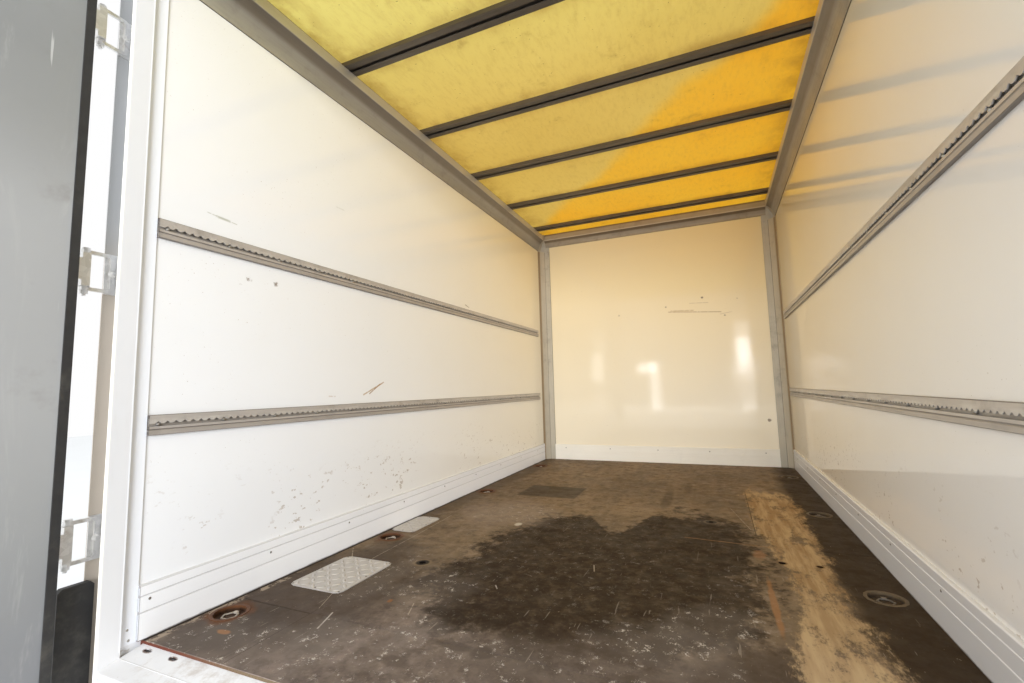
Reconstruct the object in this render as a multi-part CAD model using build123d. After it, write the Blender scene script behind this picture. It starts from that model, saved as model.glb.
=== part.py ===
# Box body of a small truck: a closed cargo box with two rear doors, standing on its two bearers.
# Millimetres. +X is the right side, +Y the front wall, +Z up. The origin is at the underside of the
# bearers, on the centre line, half way between the two rows of chassis bolt holes.
# Inside sizes are counted from the face of the lashing rails and kick rails, which is the clear
# loading width; "out" is the distance outboard of that face, and "aft" the distance behind the
# rear ends of the rails.
import os
from build123d import *

os.makedirs("parts", exist_ok=True)

# load space
clear_width = 2055.0          # between the faces of the left and right kick rails
clear_length = 3492.0         # from the rear ends of the rails to the face of the front kick rail
doorway_height = 2095.0       # load floor to the underside of the rear header
lining = 12.0                 # depth of the rails in front of the wall face
wall = 20.0                   # faced plywood wall panel
sheet = 3.0                   # folded steel and extruded skins

# underframe
bearer_height, bearer_flange, bearer_web = 120.0, 60.0, 6.0
bearer_spread = 860.0         # centre to centre of the two bearers' bolt holes
bolt_rows = 2400.0            # front to rear distance of the chassis bolt rows
bolt_radius = 6.5
cross_height, cross_flange, cross_web = 80.0, 40.0, 4.0
cross_pitch, cross_first = 470.0, 90.0
cross_clear = 60.0            # the last one stays at least this far from the front wall
floor_thick = 21.0
rail_rise = 50.0              # how far the bottom rails lap up the walls

# floor
floor_start = 14.0            # rear edge of the plywood, forward of the rails' ends
floor_joints = (303.0, 1420.0, 2540.0)
joint_gap = 2.0
pot_radius, pot_flange, pot_depth, pot_inset = 50.0, 8.0, 16.0, 80.0
pot_stations = (215.0, 1012.0, 2025.0, 3070.0)
pot_wall, pot_rim, pot_sides = 2.5, 1.5, 14
ring_radius, ring_wire = 26.0, 5.0
#             forward of rails' ends, out from left kick, length, width
floor_plate_table = ((586.0, 195.0, 298.0, 236.0),
                     (1226.0, 78.0, 256.0, 134.0))
plate_thick, plate_corner = 3.0, 25.0
#             forward, out from left kick, diameter
floor_hole_table = ((783.0, 416.0, 28.0), (1723.0, 1468.0, 24.0), (1237.0, 1719.0, 26.0), (1239.0, 1841.0, 22.0))

# rear frame: a channel that opens to the rear, the same all round
frame_front, frame_inner_rear, frame_outer_rear = 42.0, 98.0, 107.0   # aft of the rails' ends
frame_depth = 55.0            # inner leg face to outer leg face
frame_lip = 8.0               # the inner leg ends in this narrow hem, which the door seal meets
lap = 42.0                    # length of the flanges that grip the wall panel
sill_front_drop, sill_rear_drop = 10.0, 31.0
skirt_drop = 150.0            # lower edge of the sill's skirt below the load floor

# doors
door_thick = 25.0
door_overlap = 16.0           # panel edge outside the inner leg of the frame
door_gap = 8.0                # panel edge to the centre line
seal_thick, seal_width = 5.0, 20.0
hinge_out, hinge_aft = 50.0, 153.0        # pin axis
hinge_to_face = 20.0          # pin axis to the door's outer face
door_open = 95.0              # degrees, as the doors stand
hinge_low, hinge_high_drop = 306.0, 326.0 # lowest above the floor, highest below the doorway's head
bow_height, bow_bar, bow_thick, bow_base_aft = 114.0, 10.0, 8.0, 91.0
pin_radius, knuckle_radius, knuckle_gap = 5.0, 12.5, 0.5
eye_radius = 11.0
leaf_length, leaf_thick, leaf_height = 230.0, 6.0, 60.0
hinge_plate_height = 118.0
rod_radius, rod_off, rod_from_meeting = 13.5, 30.0, 300.0
guide_low, guide_high_drop, guide_count = 150.0, 135.0, 3
handle_height, handle_length, handle_tall = 1000.0, 280.0, 30.0

# walls and roof
roof_bow_first, roof_bow_pitch = 129.0, 625.0
bow_width, bow_depth, bow_slot, bow_seat = 80.0, 20.0, 18.0, 18.0
lip_rise, lip_tall = 45.0, 45.0           # inner vertical lip of the top rails, above the doorway's head
#                  lip inboard of the rails' faces, lower edge below the doorway's head,
#                  then a point half way round the cove, from the rails' faces and from the lip
side_cove = dict(reach=48.0, drop=59.0, mid_in=9.4, mid_drop=38.6)
front_cove = dict(reach=28.0, drop=19.0, mid_in=5.0, mid_drop=24.0)
cove_reach = side_cove["reach"]
wall_bite = 25.0              # how far the wall panels run up into the top rails, above the doorway's head
cover_thick = 4.0             # outer skin of the extruded rails
post_lap, strip_end, strip_thick = 64.0, 85.0, 9.0
roof_skin = 3.0
corner_radius = 40.0
kick_height, front_kick_height = 150.0, 140.0
kick_grooves = (75.0, 120.0)
lash_heights = (600.0, 1200.0)
lash_short, lash_height = 147.0, 60.0     # the rails end this far before the front kick rail
scallop_pitch = 25.4
scallop_rise, scallop_width = 7.0, 18.0
slot_half = 4.0

sill_slot, sill_slot_wide = 26.0, 9.0     # countersunk drain slots in the sill
sill_slot_table = (49.0, 159.0)           # distance from each end of the sill

# sizes that follow
lash_length = clear_length - lash_short
lip_bottom = doorway_height + lip_rise
lip_top = lip_bottom + lip_tall
cove_start = doorway_height - side_cove["drop"]
wall_top = doorway_height + wall_bite
hinge_top = doorway_height - hinge_high_drop
hinge_heights = (hinge_low, (hinge_low + hinge_top) / 2, hinge_top)
guide_top = doorway_height - guide_high_drop
rod_guides = [guide_low + i * (guide_top - guide_low) / (guide_count - 1) for i in range(guide_count)]
cross_count = int((clear_length - cross_clear - cross_flange - cross_first) // cross_pitch) + 1
roof_bow_count = int((clear_length - cove_reach - bow_width / 2 - roof_bow_first) // roof_bow_pitch) + 1
half = clear_width / 2
pocket = wall + lining                    # rails' face to the wall's outer face
skin_out = pocket + cover_thick                 # outer face of the extruded covers
floor_z = bearer_height + cross_height + floor_thick
front_face = clear_length + lining        # inner face of the front wall
body_front = front_face + wall + cover_thick
side_wall_end = front_face - 14.0
rail_end_y = (frame_outer_rear - body_front) / 2   # rails' rear ends, in the part's own frame
roof_under = lip_top + bow_depth
cross_low = cross_height + floor_thick    # below the load floor
door_low = sill_rear_drop + door_overlap
door_high = doorway_height + door_overlap


def fy(forward):
    return rail_end_y + forward


def ay(aft):
    return rail_end_y - aft


def fz(height):
    return floor_z + height


def ox(out):
    return -(half + out)                  # left side; the right side is its mirror


def block(x0, x1, y0, y1, z0, z1):
    return Pos((x0 + x1) / 2, (y0 + y1) / 2, (z0 + z1) / 2) * Box(abs(x1 - x0), abs(y1 - y0), abs(z1 - z0))


def outline(start, *steps):
    # a closed outline; a step is a corner point, or a pair (point on the arc, end of the arc)
    edges, here = [], start
    for step in steps + (start,):
        if isinstance(step[0], tuple):
            edges.append(ThreePointArc(here, step[0], step[1]))
            here = step[1]
        else:
            edges.append(Line(here, step))
            here = step
    return make_face(edges)


def along_z(face, z0, z1):
    return extrude(Pos(0, 0, z0) * face, amount=z1 - z0)


def along_y(face, y0, y1):
    # the outline is drawn in X and Z
    return extrude(Pos(0, y1, 0) * (Plane.XZ * face), amount=y1 - y0, dir=(0, -1, 0))


def along_x(face, x0, x1):
    # the outline is drawn in Y and Z
    return extrude(Pos(x0, 0, 0) * (Plane.YZ * face), amount=x1 - x0, dir=(1, 0, 0))


def round_bar(radius, length, sides=12):
    # a small round drawn with flats, about its middle; its corners lie on the radius
    return Pos(0, 0, -length / 2) * extrude(RegularPolygon(radius, sides), amount=length)


def other_side(shape):
    return mirror(shape, about=Plane.YZ)


def save(name, *solids):
    pieces = [s for shape in solids for s in shape.solids()]
    shape = pieces[0] if len(pieces) == 1 else Compound(children=pieces)
    export_step(shape, f"parts/{name}.step")


def save_pair(stem, *solids):
    save(stem + "_left", *solids)
    save(stem + "_right", *[other_side(s) for s in solids])


# bearers and cross-members
def bearer():
    x = -bearer_spread / 2
    web = x + bearer_flange / 2
    y0, y1 = ay(frame_outer_rear - sheet), fy(front_face)
    shape = block(web - bearer_web, web, y0, y1, 0, bearer_height)
    for z0 in (0, bearer_height - bearer_web):
        shape += block(x - bearer_flange / 2, web, y0, y1, z0, z0 + bearer_web)
    for y in (-bolt_rows / 2, bolt_rows / 2):
        shape -= Pos(x, y, bearer_web / 2) * Cylinder(bolt_radius, 3 * bearer_web)
    return shape


def cross_member(y):
    x1 = half + lining
    z0, z1 = bearer_height, bearer_height + cross_height
    shape = block(-x1, x1, y, y + cross_web, z0, z1)
    for z in (z0, z1 - cross_web):
        shape += block(-x1, x1, y, y + cross_flange, z, z + cross_web)
    return shape


save_pair("bearer", bearer())
save("cross_members", *[cross_member(fy(cross_first + i * cross_pitch)) for i in range(cross_count)])


# bottom rails: an outer plate that laps the wall, a shelf under the wall, and a closed foot
def bottom_rail_section(place):
    # distance out, height above the load floor
    plate = outline(*place((pocket, -cross_low), (skin_out, -cross_low), (skin_out, rail_rise - 5),
                           (pocket, rail_rise)))
    shelf = outline(*place((lining, -floor_thick - sheet), (pocket, -floor_thick - sheet),
                           (pocket, -floor_thick), (lining, -floor_thick)))
    inner = outline(*place((lining, -cross_low), (lining + sheet, -cross_low),
                           (lining + sheet, -floor_thick - sheet), (lining, -floor_thick - sheet)))
    foot = outline(*place((lining, -cross_low - sheet), (skin_out, -cross_low - sheet),
                          (skin_out, -cross_low), (lining, -cross_low)))
    return plate + shelf + inner + foot


def on_side(*points):
    # (distance out, height) as X and Z of the left side
    return [on_side(*p) if isinstance(p[0], tuple) else (ox(p[0]), fz(p[1])) for p in points]


def on_front(*points):
    # (distance out, height) as Y and Z at the front wall
    return [on_front(*p) if isinstance(p[0], tuple) else (fy(clear_length + p[0]), fz(p[1])) for p in points]


def in_plan(*points):
    # (distance out, distance aft) as X and Y of the left side
    return [in_plan(*p) if isinstance(p[0], tuple) else (ox(p[0]), ay(p[1])) for p in points]


def in_corner(*points):
    # (distance out, forward of the rails' ends) as X and Y of the left side
    return [in_corner(*p) if isinstance(p[0], tuple) else (ox(p[0]), fy(p[1])) for p in points]


save_pair("side_rail", along_y(bottom_rail_section(on_side), ay(lap), fy(front_face)))
front_reach = half + lining
rail_reach = half + skin_out
front_rail = along_x(bottom_rail_section(on_front), -rail_reach, rail_reach)
for x in (-rail_reach, rail_reach - cover_thick):
    front_rail += block(x, x + cover_thick, fy(front_face), fy(body_front), fz(-cross_low - sheet), fz(rail_rise))
save("front_rail", front_rail)


# load floor
def floor_boards():
    joints = [floor_start] + [j for j in floor_joints] + [front_face]
    boards = []
    for i, (y0, y1) in enumerate(zip(joints, joints[1:])):
        start = y0 + (joint_gap if i else 0)
        boards.append(block(-front_reach, front_reach, fy(start), fy(y1), fz(-floor_thick), fz(0)))
    cuts = [Pos(side * (half - pot_inset), fy(s), fz(0)) * round_bar(pot_radius + 0.3, 3 * floor_thick, pot_sides)
            for s in pot_stations for side in (-1, 1)]
    cuts += [Pos(ox(-across), fy(forward), fz(0)) * round_bar(size / 2, 3 * floor_thick)
             for forward, across, size in floor_hole_table]
    return [board - cuts for board in boards]


def lashing_pot(x, y):
    top, pan = fz(0), fz(0) - pot_depth + pot_wall
    shape = Pos(x, y, top - pot_depth / 2) * round_bar(pot_radius, pot_depth, pot_sides)
    shape += Pos(x, y, top + pot_rim / 2) * round_bar(pot_radius + pot_flange, pot_rim, pot_sides)
    shape -= Pos(x, y, pan + pot_depth) * round_bar(pot_radius - pot_wall, 2 * pot_depth, pot_sides)
    ring = round_bar(ring_radius, ring_wire, 6) - round_bar(ring_radius - ring_wire, 3 * ring_wire, 6)
    shape += Pos(x, y, pan + ring_wire / 2) * ring
    return shape + Pos(x, y + ring_radius - ring_wire / 2, pan + 4) * Box(14, 11, 8)


def floor_plate(forward, across, length, width):
    # its rounded corners are drawn with two flats each
    turn = plate_corner * (1 - 0.70711)
    quarter = [(0, plate_corner), (turn, turn), (plate_corner, 0)]
    x, y = width / 2, length / 2
    points = [(quarter_x - x, quarter_y - y) for quarter_x, quarter_y in quarter]
    points += [(-a, b) for a, b in reversed(points)]
    points += [(a, -b) for a, b in reversed(points)]
    face = make_face(Polyline(*points, close=True))
    return extrude(Pos(ox(-across), fy(forward), fz(0)) * face, amount=plate_thick)


save("floor_boards", *floor_boards())
save("lashing_pots", *[lashing_pot(side * (half - pot_inset), fy(s)) for s in pot_stations for side in (-1, 1)])
save("floor_plates", *[floor_plate(*row) for row in floor_plate_table])


# wall panels
save_pair("wall", block(ox(lining), ox(pocket), ay(lap), fy(side_wall_end), fz(-floor_thick), fz(wall_top)))
save("wall_front", block(-front_reach, front_reach, fy(front_face), fy(front_face + wall),
                         fz(-floor_thick), fz(wall_top)))


# top rails: outer cover with a rounded corner, a cove inside and a vertical lip under the roof bows
def top_rail_section(place, reach, drop, mid_in, mid_drop):
    arc_end = skin_out - corner_radius
    turn = corner_radius * (1 - 0.70711)
    low = doorway_height - drop
    cover = outline(*place(
        (skin_out, cove_start), (skin_out, roof_under - corner_radius),
        ((skin_out - turn, roof_under - turn), (arc_end, roof_under)), (bow_seat - reach, roof_under),
        (bow_seat - reach, lip_top), (-reach, lip_top), (-reach, lip_bottom),
        ((-mid_in, lip_bottom - mid_drop), (lining - sheet, low + 14)), (lining - sheet, low), (lining, low),
        (lining, wall_top), (pocket, wall_top), (pocket, cove_start)))
    inside = corner_radius - sheet
    turn_in = inside * (1 - 0.70711) + sheet
    hollow = outline(*place(
        (skin_out - sheet, wall_top + sheet), (skin_out - sheet, roof_under - corner_radius),
        ((skin_out - turn_in, roof_under - turn_in), (arc_end, roof_under - sheet)),
        (bow_seat - reach + sheet, roof_under - sheet), (bow_seat - reach + sheet, lip_top - sheet),
        (sheet - reach, lip_top - sheet), (sheet - reach, lip_bottom + 1.5), (lining - sheet, wall_top + sheet)))
    return cover - hollow


lip_forward = clear_length - cove_reach
front_lip_forward = clear_length - front_cove["reach"]
save_pair("top_rail", along_y(top_rail_section(on_side, **side_cove), ay(lap), fy(lip_forward)))
inner_reach = half - cove_reach
save("top_rail_front", along_x(top_rail_section(on_front, **front_cove), -inner_reach, inner_reach))


# corner castings where the side and front top rails meet: rounded outside, two coves meeting inside
def corner_casting():
    def room(place, reach, drop, mid_in, mid_drop):
        low = cove_start - 10
        return outline(*place(
            (-reach - 80, low), (-reach - 80, lip_bottom), (-reach, lip_bottom),
            ((-mid_in, lip_bottom - mid_drop), (lining - sheet, doorway_height - drop + 14)), (lining - sheet, low)))

    x0, x1, y0, y1 = ox(skin_out), ox(-cove_reach), fy(lip_forward), fy(body_front)
    shape = block(x0, x1, y0, y1, fz(cove_start), fz(roof_under))
    outer_edges = [shape.edges().filter_by(Axis.Z).sort_by(lambda e: e.center().X - e.center().Y)[0],
                   shape.edges().filter_by(Axis.X).sort_by(lambda e: e.center().Y + e.center().Z)[-1],
                   shape.edges().filter_by(Axis.Y).sort_by(lambda e: e.center().Z - e.center().X)[-1]]
    shape = fillet(outer_edges, corner_radius)
    shape -= (along_y(room(on_side, **side_cove), y0 - 20, y1 + 20)
              & along_x(room(on_front, **front_cove), x0 - 20, x1 + 90))
    # the front lip stands further forward, so the side lip runs on to it
    shape -= block(x1 - bow_seat, x1 + 1, y0 - 1, fy(front_lip_forward), fz(lip_top), fz(roof_under + 1))
    shape -= block(ox(lining), ox(pocket), y0 - 1, fy(side_wall_end), fz(0), fz(wall_top))
    return shape - block(ox(lining), x1 + 1, fy(front_face), fy(front_face + wall), fz(0), fz(wall_top))


save_pair("corner_casting", corner_casting())


# front corner posts: a rounded cover outside, a cove and a screwed strip inside
def front_post():
    side_line = clear_length - post_lap
    inner = outline(*in_corner(
        (lining, front_face), (-strip_end, front_face), (-strip_end, front_face - strip_thick),
        (-36, front_face - strip_thick), ((-8, front_face - 36), (lining - sheet, side_line + 8)),
        (lining - sheet, side_line), (lining, side_line)))
    back = body_front - cover_thick
    post = along_z(inner, fz(0), fz(cove_start))
    # the strip runs on past the casting, up to the front top rail
    post += block(ox(-cove_reach), ox(-strip_end), fy(front_face - strip_thick), fy(front_face), fz(cove_start),
                  fz(doorway_height - front_cove["drop"]))
    post += block(ox(lining), ox(pocket), fy(side_wall_end), fy(back), fz(-floor_thick), fz(cove_start))
    # the cover stops where the bottom rails lap the walls
    post += block(ox(pocket), ox(skin_out), fy(body_front - 2 * post_lap), fy(body_front), fz(rail_rise),
                  fz(cove_start))
    post += block(ox(pocket), ox(-strip_end - 10), fy(back), fy(body_front), fz(rail_rise), fz(cove_start))
    x, y = ox(skin_out - corner_radius), fy(body_front - corner_radius)
    corner = block(ox(skin_out + 1), x, y, fy(body_front + 1), fz(rail_rise), fz(cove_start + 1))
    return post - (corner - Pos(x, y, fz(cove_start / 2)) * Cylinder(corner_radius, 2 * cove_start))


save_pair("front_post", front_post())


# roof bows, slotted underneath, and the translucent skin on them
def roof_bow(y):
    z0, z1 = fz(lip_top), fz(roof_under)
    reach = half - cove_reach + bow_seat
    shape = block(-reach, reach, y - bow_width / 2, y + bow_width / 2, z0, z1)
    shape -= block(-reach, reach, y - bow_width / 2 + sheet, y + bow_width / 2 - sheet, z0 + sheet, z1 - sheet)
    return shape - block(-reach, reach, y - bow_slot / 2, y + bow_slot / 2, z0 - 1, z0 + sheet + 1)


save("roof_bows", *[roof_bow(fy(roof_bow_first + i * roof_bow_pitch)) for i in range(roof_bow_count)])
skin_half = half + skin_out - corner_radius
save("roof_skin", block(-skin_half, skin_half, ay(frame_outer_rear - sheet), fy(body_front - corner_radius),
                        fz(roof_under), fz(roof_under + roof_skin)))


# kick rails
def kick_section(place, height):
    face = outline(*place((0, 0), (lining, 0), (lining, height), (5, height), ((1.5, height - 1.5), (0, height - 5))))
    for groove in kick_grooves:
        face -= outline(*place((-1, groove - 3), (2, groove), (-1, groove + 3)))
    levels = (0,) + kick_grooves + (height - 4,)
    for low, high in zip(levels, levels[1:]):
        face -= outline(*place((3, low + 4), (lining - 2.5, low + 4), (lining - 2.5, high - 4), (3, high - 4)))
    return face


save_pair("kick_rail", along_y(kick_section(on_side, kick_height), fy(0), fy(clear_length - post_lap)))
save("kick_rail_front", along_x(kick_section(on_front, front_kick_height), -(half - strip_end), half - strip_end))


# lashing rails: a slotted extrusion whose upper lip is scalloped at the pitch of the track fittings
def lashing_rail(height):
    h = lash_height / 2
    lip, back = 3.0, 2.0

    def at(*points):
        return [(ox(p[0]), fz(height + p[1])) for p in points]

    face = outline(*at((0, -h + 1), (1, -h), (lining, -h), (lining, h), (1, h), (0, h - 1)))
    face -= outline(*at((lip, -13), (lining - back, -13), (lining - back, 13), (lip, 13)))
    face -= outline(*at((-1, -slot_half), (lip + 1, -slot_half), (lip + 1, slot_half), (-1, slot_half)))
    for low, high in ((-h + 3, -19), (16, h - 3)):
        face -= outline(*at((lip, low), (lining - 2, low), (lining - 2, high), (lip, high)))
    face -= outline(*at((-1, -18), (1.8, -15), (-1, -12)))
    rail = along_y(face, fy(0), fy(lash_length))
    count = int((lash_length - scallop_pitch) // scallop_pitch)
    comb = []
    for i in range(count):
        y = fy(scallop_pitch * (i + 1))
        comb += [(y - scallop_width / 2, slot_half), (y, slot_half + scallop_rise), (y + scallop_width / 2, slot_half)]
    points = [(comb[0][0], 0.0)] + comb + [(comb[-1][0], 0.0)]
    teeth = make_face(Polyline(*[(y, fz(height + z)) for y, z in points], close=True))
    return rail - along_x(teeth, ox(lip + 1), ox(-1))


for name, height in zip(("lower", "upper"), lash_heights):
    save_pair("lashing_rail_" + name, lashing_rail(height))


# rear frame
def leg_section(place):
    # inner leg with its rounded rear edge and narrow hem: (out, aft)
    r = 5.0
    turn, turn_in = r * (1 - 0.70711), sheet + (r - sheet) * (1 - 0.70711)
    rear = frame_inner_rear
    return outline(*place((0, frame_front), (0, rear - r), ((turn, rear - turn), (r, rear)), (frame_lip, rear),
                          (frame_lip, rear - sheet), (r, rear - sheet),
                          ((turn_in, rear - turn_in), (sheet, rear - r)), (sheet, frame_front)))


def slab(place, a, b):
    return outline(*place((a[0], a[1]), (b[0], a[1]), (b[0], b[1]), (a[0], b[1])))


def rear_post():
    face = leg_section(in_plan)
    face += slab(in_plan, (0, frame_front), (frame_depth + sheet, frame_front + sheet))
    face += slab(in_plan, (frame_depth, frame_front), (frame_depth + sheet, frame_outer_rear))
    face += slab(in_plan, (lining - sheet, 0), (lining, frame_front + sheet))
    face += slab(in_plan, (pocket, 0), (pocket + sheet, frame_front + sheet))
    post = along_z(face, fz(-skirt_drop), fz(roof_under))
    cap = block(ox(0), ox(frame_depth + sheet), ay(frame_front), ay(frame_outer_rear), fz(roof_under - sheet),
                fz(roof_under))
    # the side rails and top rails run into the flanges' pocket
    post -= block(ox(pocket - 1), ox(pocket + sheet + 1), ay(frame_front), fy(1), fz(-skirt_drop - 1), fz(rail_rise))
    post -= block(ox(pocket - 1), ox(pocket + sheet + 1), ay(frame_front), fy(1), fz(cove_start), fz(roof_under + 1))
    post -= block(ox(-1), ox(pocket), ay(frame_front), fy(1), fz(-skirt_drop - 1), fz(0))
    post -= block(ox(-1), ox(pocket), ay(frame_front), fy(1), fz(cove_start), fz(roof_under + 1))
    return post + cap


def aft_and_height(lift):
    # (out, aft) of the frame's section as Y and Z; lift turns "out" into a height above the floor
    def place(*points):
        return [place(*p) if isinstance(p[0], tuple) else (ay(p[1]), fz(lift(p[0]))) for p in points]
    return place


def rear_header():
    place = aft_and_height(lambda out: doorway_height + out)
    box_low = frame_depth
    box_high = roof_under - doorway_height
    face = leg_section(place) + slab(place, (0, frame_front), (box_low, frame_front + sheet))
    face += slab(place, (box_low, frame_front), (box_high, frame_outer_rear))
    face -= slab(place, (box_low + sheet, frame_front + sheet), (box_high - sheet, frame_outer_rear - sheet))
    return along_x(face, -half, half)


def rear_sill():
    def top(aft):
        share = (aft + floor_start) / (frame_inner_rear + floor_start)
        return -sill_front_drop - share * (sill_rear_drop - sill_front_drop)

    place = aft_and_height(lambda out: out)
    r, rear, low = 5.0, frame_inner_rear, sill_rear_drop
    turn, turn_in = r * (1 - 0.70711), sheet + (r - sheet) * (1 - 0.70711)
    tread = outline(*place(
        (top(-floor_start), -floor_start), (top(rear - r), rear - r), ((-low - turn, rear - turn), (-low - r, rear)),
        (-low - frame_lip, rear), (-low - frame_lip, rear - sheet), (-low - r, rear - sheet),
        ((-low - turn_in, rear - turn_in), (top(rear - r) - sheet, rear - r)),
        (top(-floor_start) - sheet, -floor_start)))
    leg = -low - frame_depth
    face = tread
    face += slab(place, (leg - sheet, frame_front), (top(frame_front), frame_front + sheet))
    face += slab(place, (leg - sheet, frame_front), (leg, frame_outer_rear))
    face += slab(place, (-skirt_drop, frame_outer_rear - sheet), (leg, frame_outer_rear))
    face += slab(place, (-floor_thick - sheet, -floor_start - lap), (-floor_thick, frame_front + sheet))
    sill = along_x(face, -half, half)
    for inset in sill_slot_table:
        for side in (-1, 1):
            slot = Box(sill_slot, sill_slot_wide, 2 * floor_thick)
            slot = chamfer(slot.edges().filter_by(Axis.Z), sill_slot_wide / 3)
            sill -= Pos(side * (half - inset), fy(0), fz(1)) * slot
    return sill


save_pair("rear_post", rear_post())
save("rear_header", rear_header())
save("rear_sill", rear_sill())


# rubber guards low on the hinge side
guard_out, guard_thick = frame_depth, 18.0
guard_front, guard_rear, guard_low, guard_high = 92.0, 170.0, -105.0, 197.0


def corner_guard():
    shape = block(ox(guard_out - guard_thick), ox(guard_out), ay(guard_front), ay(guard_rear), fz(guard_low),
                  fz(guard_high))
    return chamfer(shape.edges().filter_by(Axis.X), 9)


save("corner_guards", corner_guard(), other_side(corner_guard()))


# hinges: a bow of flat bar bolted to a plate on the frame's outer leg, its arms carrying the pin
def hinge_bow(height):
    y_rear, y_base = ay(hinge_aft), ay(bow_base_aft)
    z = fz(height)
    h, t = bow_height / 2, bow_bar
    front = y_base + t / 2
    ring = Rectangle(front - y_rear, 2 * h, align=(Align.MIN, Align.CENTER))
    ring = fillet(ring.vertices().sort_by(Axis.X)[-2:], 14)
    gap = Rectangle(front - y_rear - t, 2 * h - 2 * t, align=(Align.MIN, Align.CENTER))
    gap = chamfer(gap.vertices().sort_by(Axis.X)[-2:], 4)
    flat = Plane.YZ * (Pos(y_rear, z) * (ring - gap))
    x_in = ox(frame_depth - sheet - bow_thick)
    bow = extrude(Pos(ox(frame_depth - sheet), 0, 0) * flat, amount=x_in - ox(frame_depth - sheet), dir=(1, 0, 0))
    for side in (-1, 1):
        bow += Pos(ox(hinge_out), y_rear, z + side * (h - t / 2)) * round_bar(eye_radius, t, 8)
    bow += Pos(ox(hinge_out), y_rear, z) * Cylinder(pin_radius, 2 * h - t)
    bow += Pos(ox(hinge_out), y_rear, z - h - 6) * round_bar(pin_radius, 18, 8)
    for side, tall in ((-1, 9.0), (1, 6.0)):
        nut = extrude(RegularPolygon(9.5, 6), amount=tall)
        low = z + h if side > 0 else z - h - tall
        bow += Pos(ox(hinge_out), y_rear, low) * nut
    plate = block(ox(frame_depth), ox(frame_depth - sheet), ay(frame_front + sheet + 4), ay(frame_outer_rear),
                  z - hinge_plate_height / 2, z + hinge_plate_height / 2)
    dome = Pos(x_in - 2, y_base, z) * Rot(0, 90, 0) * extrude(RegularPolygon(11, 8), amount=11, taper=25)
    return bow + plate + dome


def hinge_leaf(height):
    z = fz(height)
    tall = bow_height - 2 * bow_bar - 2 * knuckle_gap
    face_aft = hinge_aft - hinge_to_face
    knuckle = RegularPolygon(knuckle_radius, 12)
    curl = slab(lambda *p: [(-a, -b) for a, b in p], (-6, -hinge_to_face), (knuckle_radius, 0))
    leaf = along_z(Pos(ox(hinge_out), ay(hinge_aft)) * (knuckle + mirror(curl, about=Plane.YZ)), z - tall / 2,
                   z + tall / 2)
    strap = block(ox(hinge_out - knuckle_radius + 1), ox(hinge_out - leaf_length), ay(face_aft),
                  ay(face_aft + leaf_thick), z - leaf_height / 2, z + leaf_height / 2)
    leaf = leaf + strap
    return leaf - Pos(ox(hinge_out), ay(hinge_aft), z) * Cylinder(pin_radius + 0.3, 2 * tall)


save_pair("hinge_bows", *[hinge_bow(h) for h in hinge_heights])


# doors, modelled shut and then swung to where they stand
def swing(shape, angle=door_open):
    pin = (ox(hinge_out), ay(hinge_aft))
    return Pos(pin[0], pin[1], 0) * Rot(0, 0, -angle) * Pos(-pin[0], -pin[1], 0) * shape


door_rear = hinge_aft - hinge_to_face
door_front = door_rear - door_thick
door_edge = -(half - door_gap)            # meeting edge, as a distance out


def door_panel():
    return block(ox(door_overlap), ox(door_edge), ay(door_front), ay(door_rear), fz(-door_low), fz(door_high))


def door_seal():
    x0, x1 = ox(door_overlap), ox(door_edge)
    z0, z1 = fz(-door_low), fz(door_high)
    t, w = seal_thick, seal_width - seal_thick
    shape = block(x0 - t, x1 + t, ay(door_front - t), ay(door_rear - t), z0 - t, z1 + t)
    shape -= block(x0 + w, x1 - w, ay(door_front - 2 * t), ay(door_front), z0 + w, z1 - w)
    return shape - block(x0, x1, ay(door_front), ay(door_rear + t), z0, z1)


def lock_rod():
    x = ox(door_edge) - rod_from_meeting
    y = ay(door_rear + rod_off)
    z0, z1 = fz(-door_low - 45), fz(door_high + 45)
    rod = Pos(x, y, (z0 + z1) / 2) * round_bar(rod_radius, z1 - z0, 16)
    for z in (z0 + 8, z1 - 8):
        rod += Pos(x - 22, y, z) * Box(44, 16, 16)
    hub = Pos(x, y, fz(handle_height)) * Box(34, 34, handle_tall + 16)
    z = fz(handle_height)
    lever = block(x - handle_length, x, y - 10, y + 2, z - handle_tall / 2, z + handle_tall / 2)
    lever = chamfer(lever.edges().filter_by(Axis.Y), 7)
    return rod + hub + lever


def lock_guide(height):
    x = ox(door_edge) - rod_from_meeting
    y = ay(door_rear + rod_off)
    z = fz(height)
    seat = ay(door_rear)
    shape = block(x - 36, x + 36, seat, seat - 6, z - 22, z + 22)
    shape += block(x - 19, x + 19, seat, y - 6, z - 22, z + 22)
    return shape - Pos(x, y, z) * round_bar(rod_radius + 0.4, 60, 16)


def keeper(height):
    x = ox(door_edge) - rod_from_meeting
    y0 = ay(frame_outer_rear)
    shape = block(x - 40, x + 40, y0 - 5, y0, fz(height) - 16, fz(height) + 16)
    for side in (-1, 1):
        shape += block(x + side * 14, x + side * 24, y0 - 32, y0, fz(height) - 12, fz(height) + 12)
    return shape


save_pair("door", swing(door_panel()))
save_pair("door_seal", swing(door_seal()))
save_pair("hinge_leaves", *[swing(hinge_leaf(h)) for h in hinge_heights])
save_pair("lock_rod", swing(lock_rod()))
save_pair("lock_guides", *[swing(lock_guide(h)) for h in rod_guides])
keepers = [keeper(-door_low - 45 + 8), keeper(door_high + 45 + 8)]
save("lock_keepers", *keepers, *[other_side(k) for k in keepers])
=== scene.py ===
# %% [markdown]
# A truck's cargo box, seen from its rear doorway: white walls with slotted lashing rails, a dark plywood
# floor and a yellow translucent roof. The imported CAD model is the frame: its nodes stay where they are,
# and this script gives them finishes, adds the small fittings, and sets the light and the camera.

# %% Load the frame
import math
from functools import reduce
import bpy
from mathutils import Matrix, Vector


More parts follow.
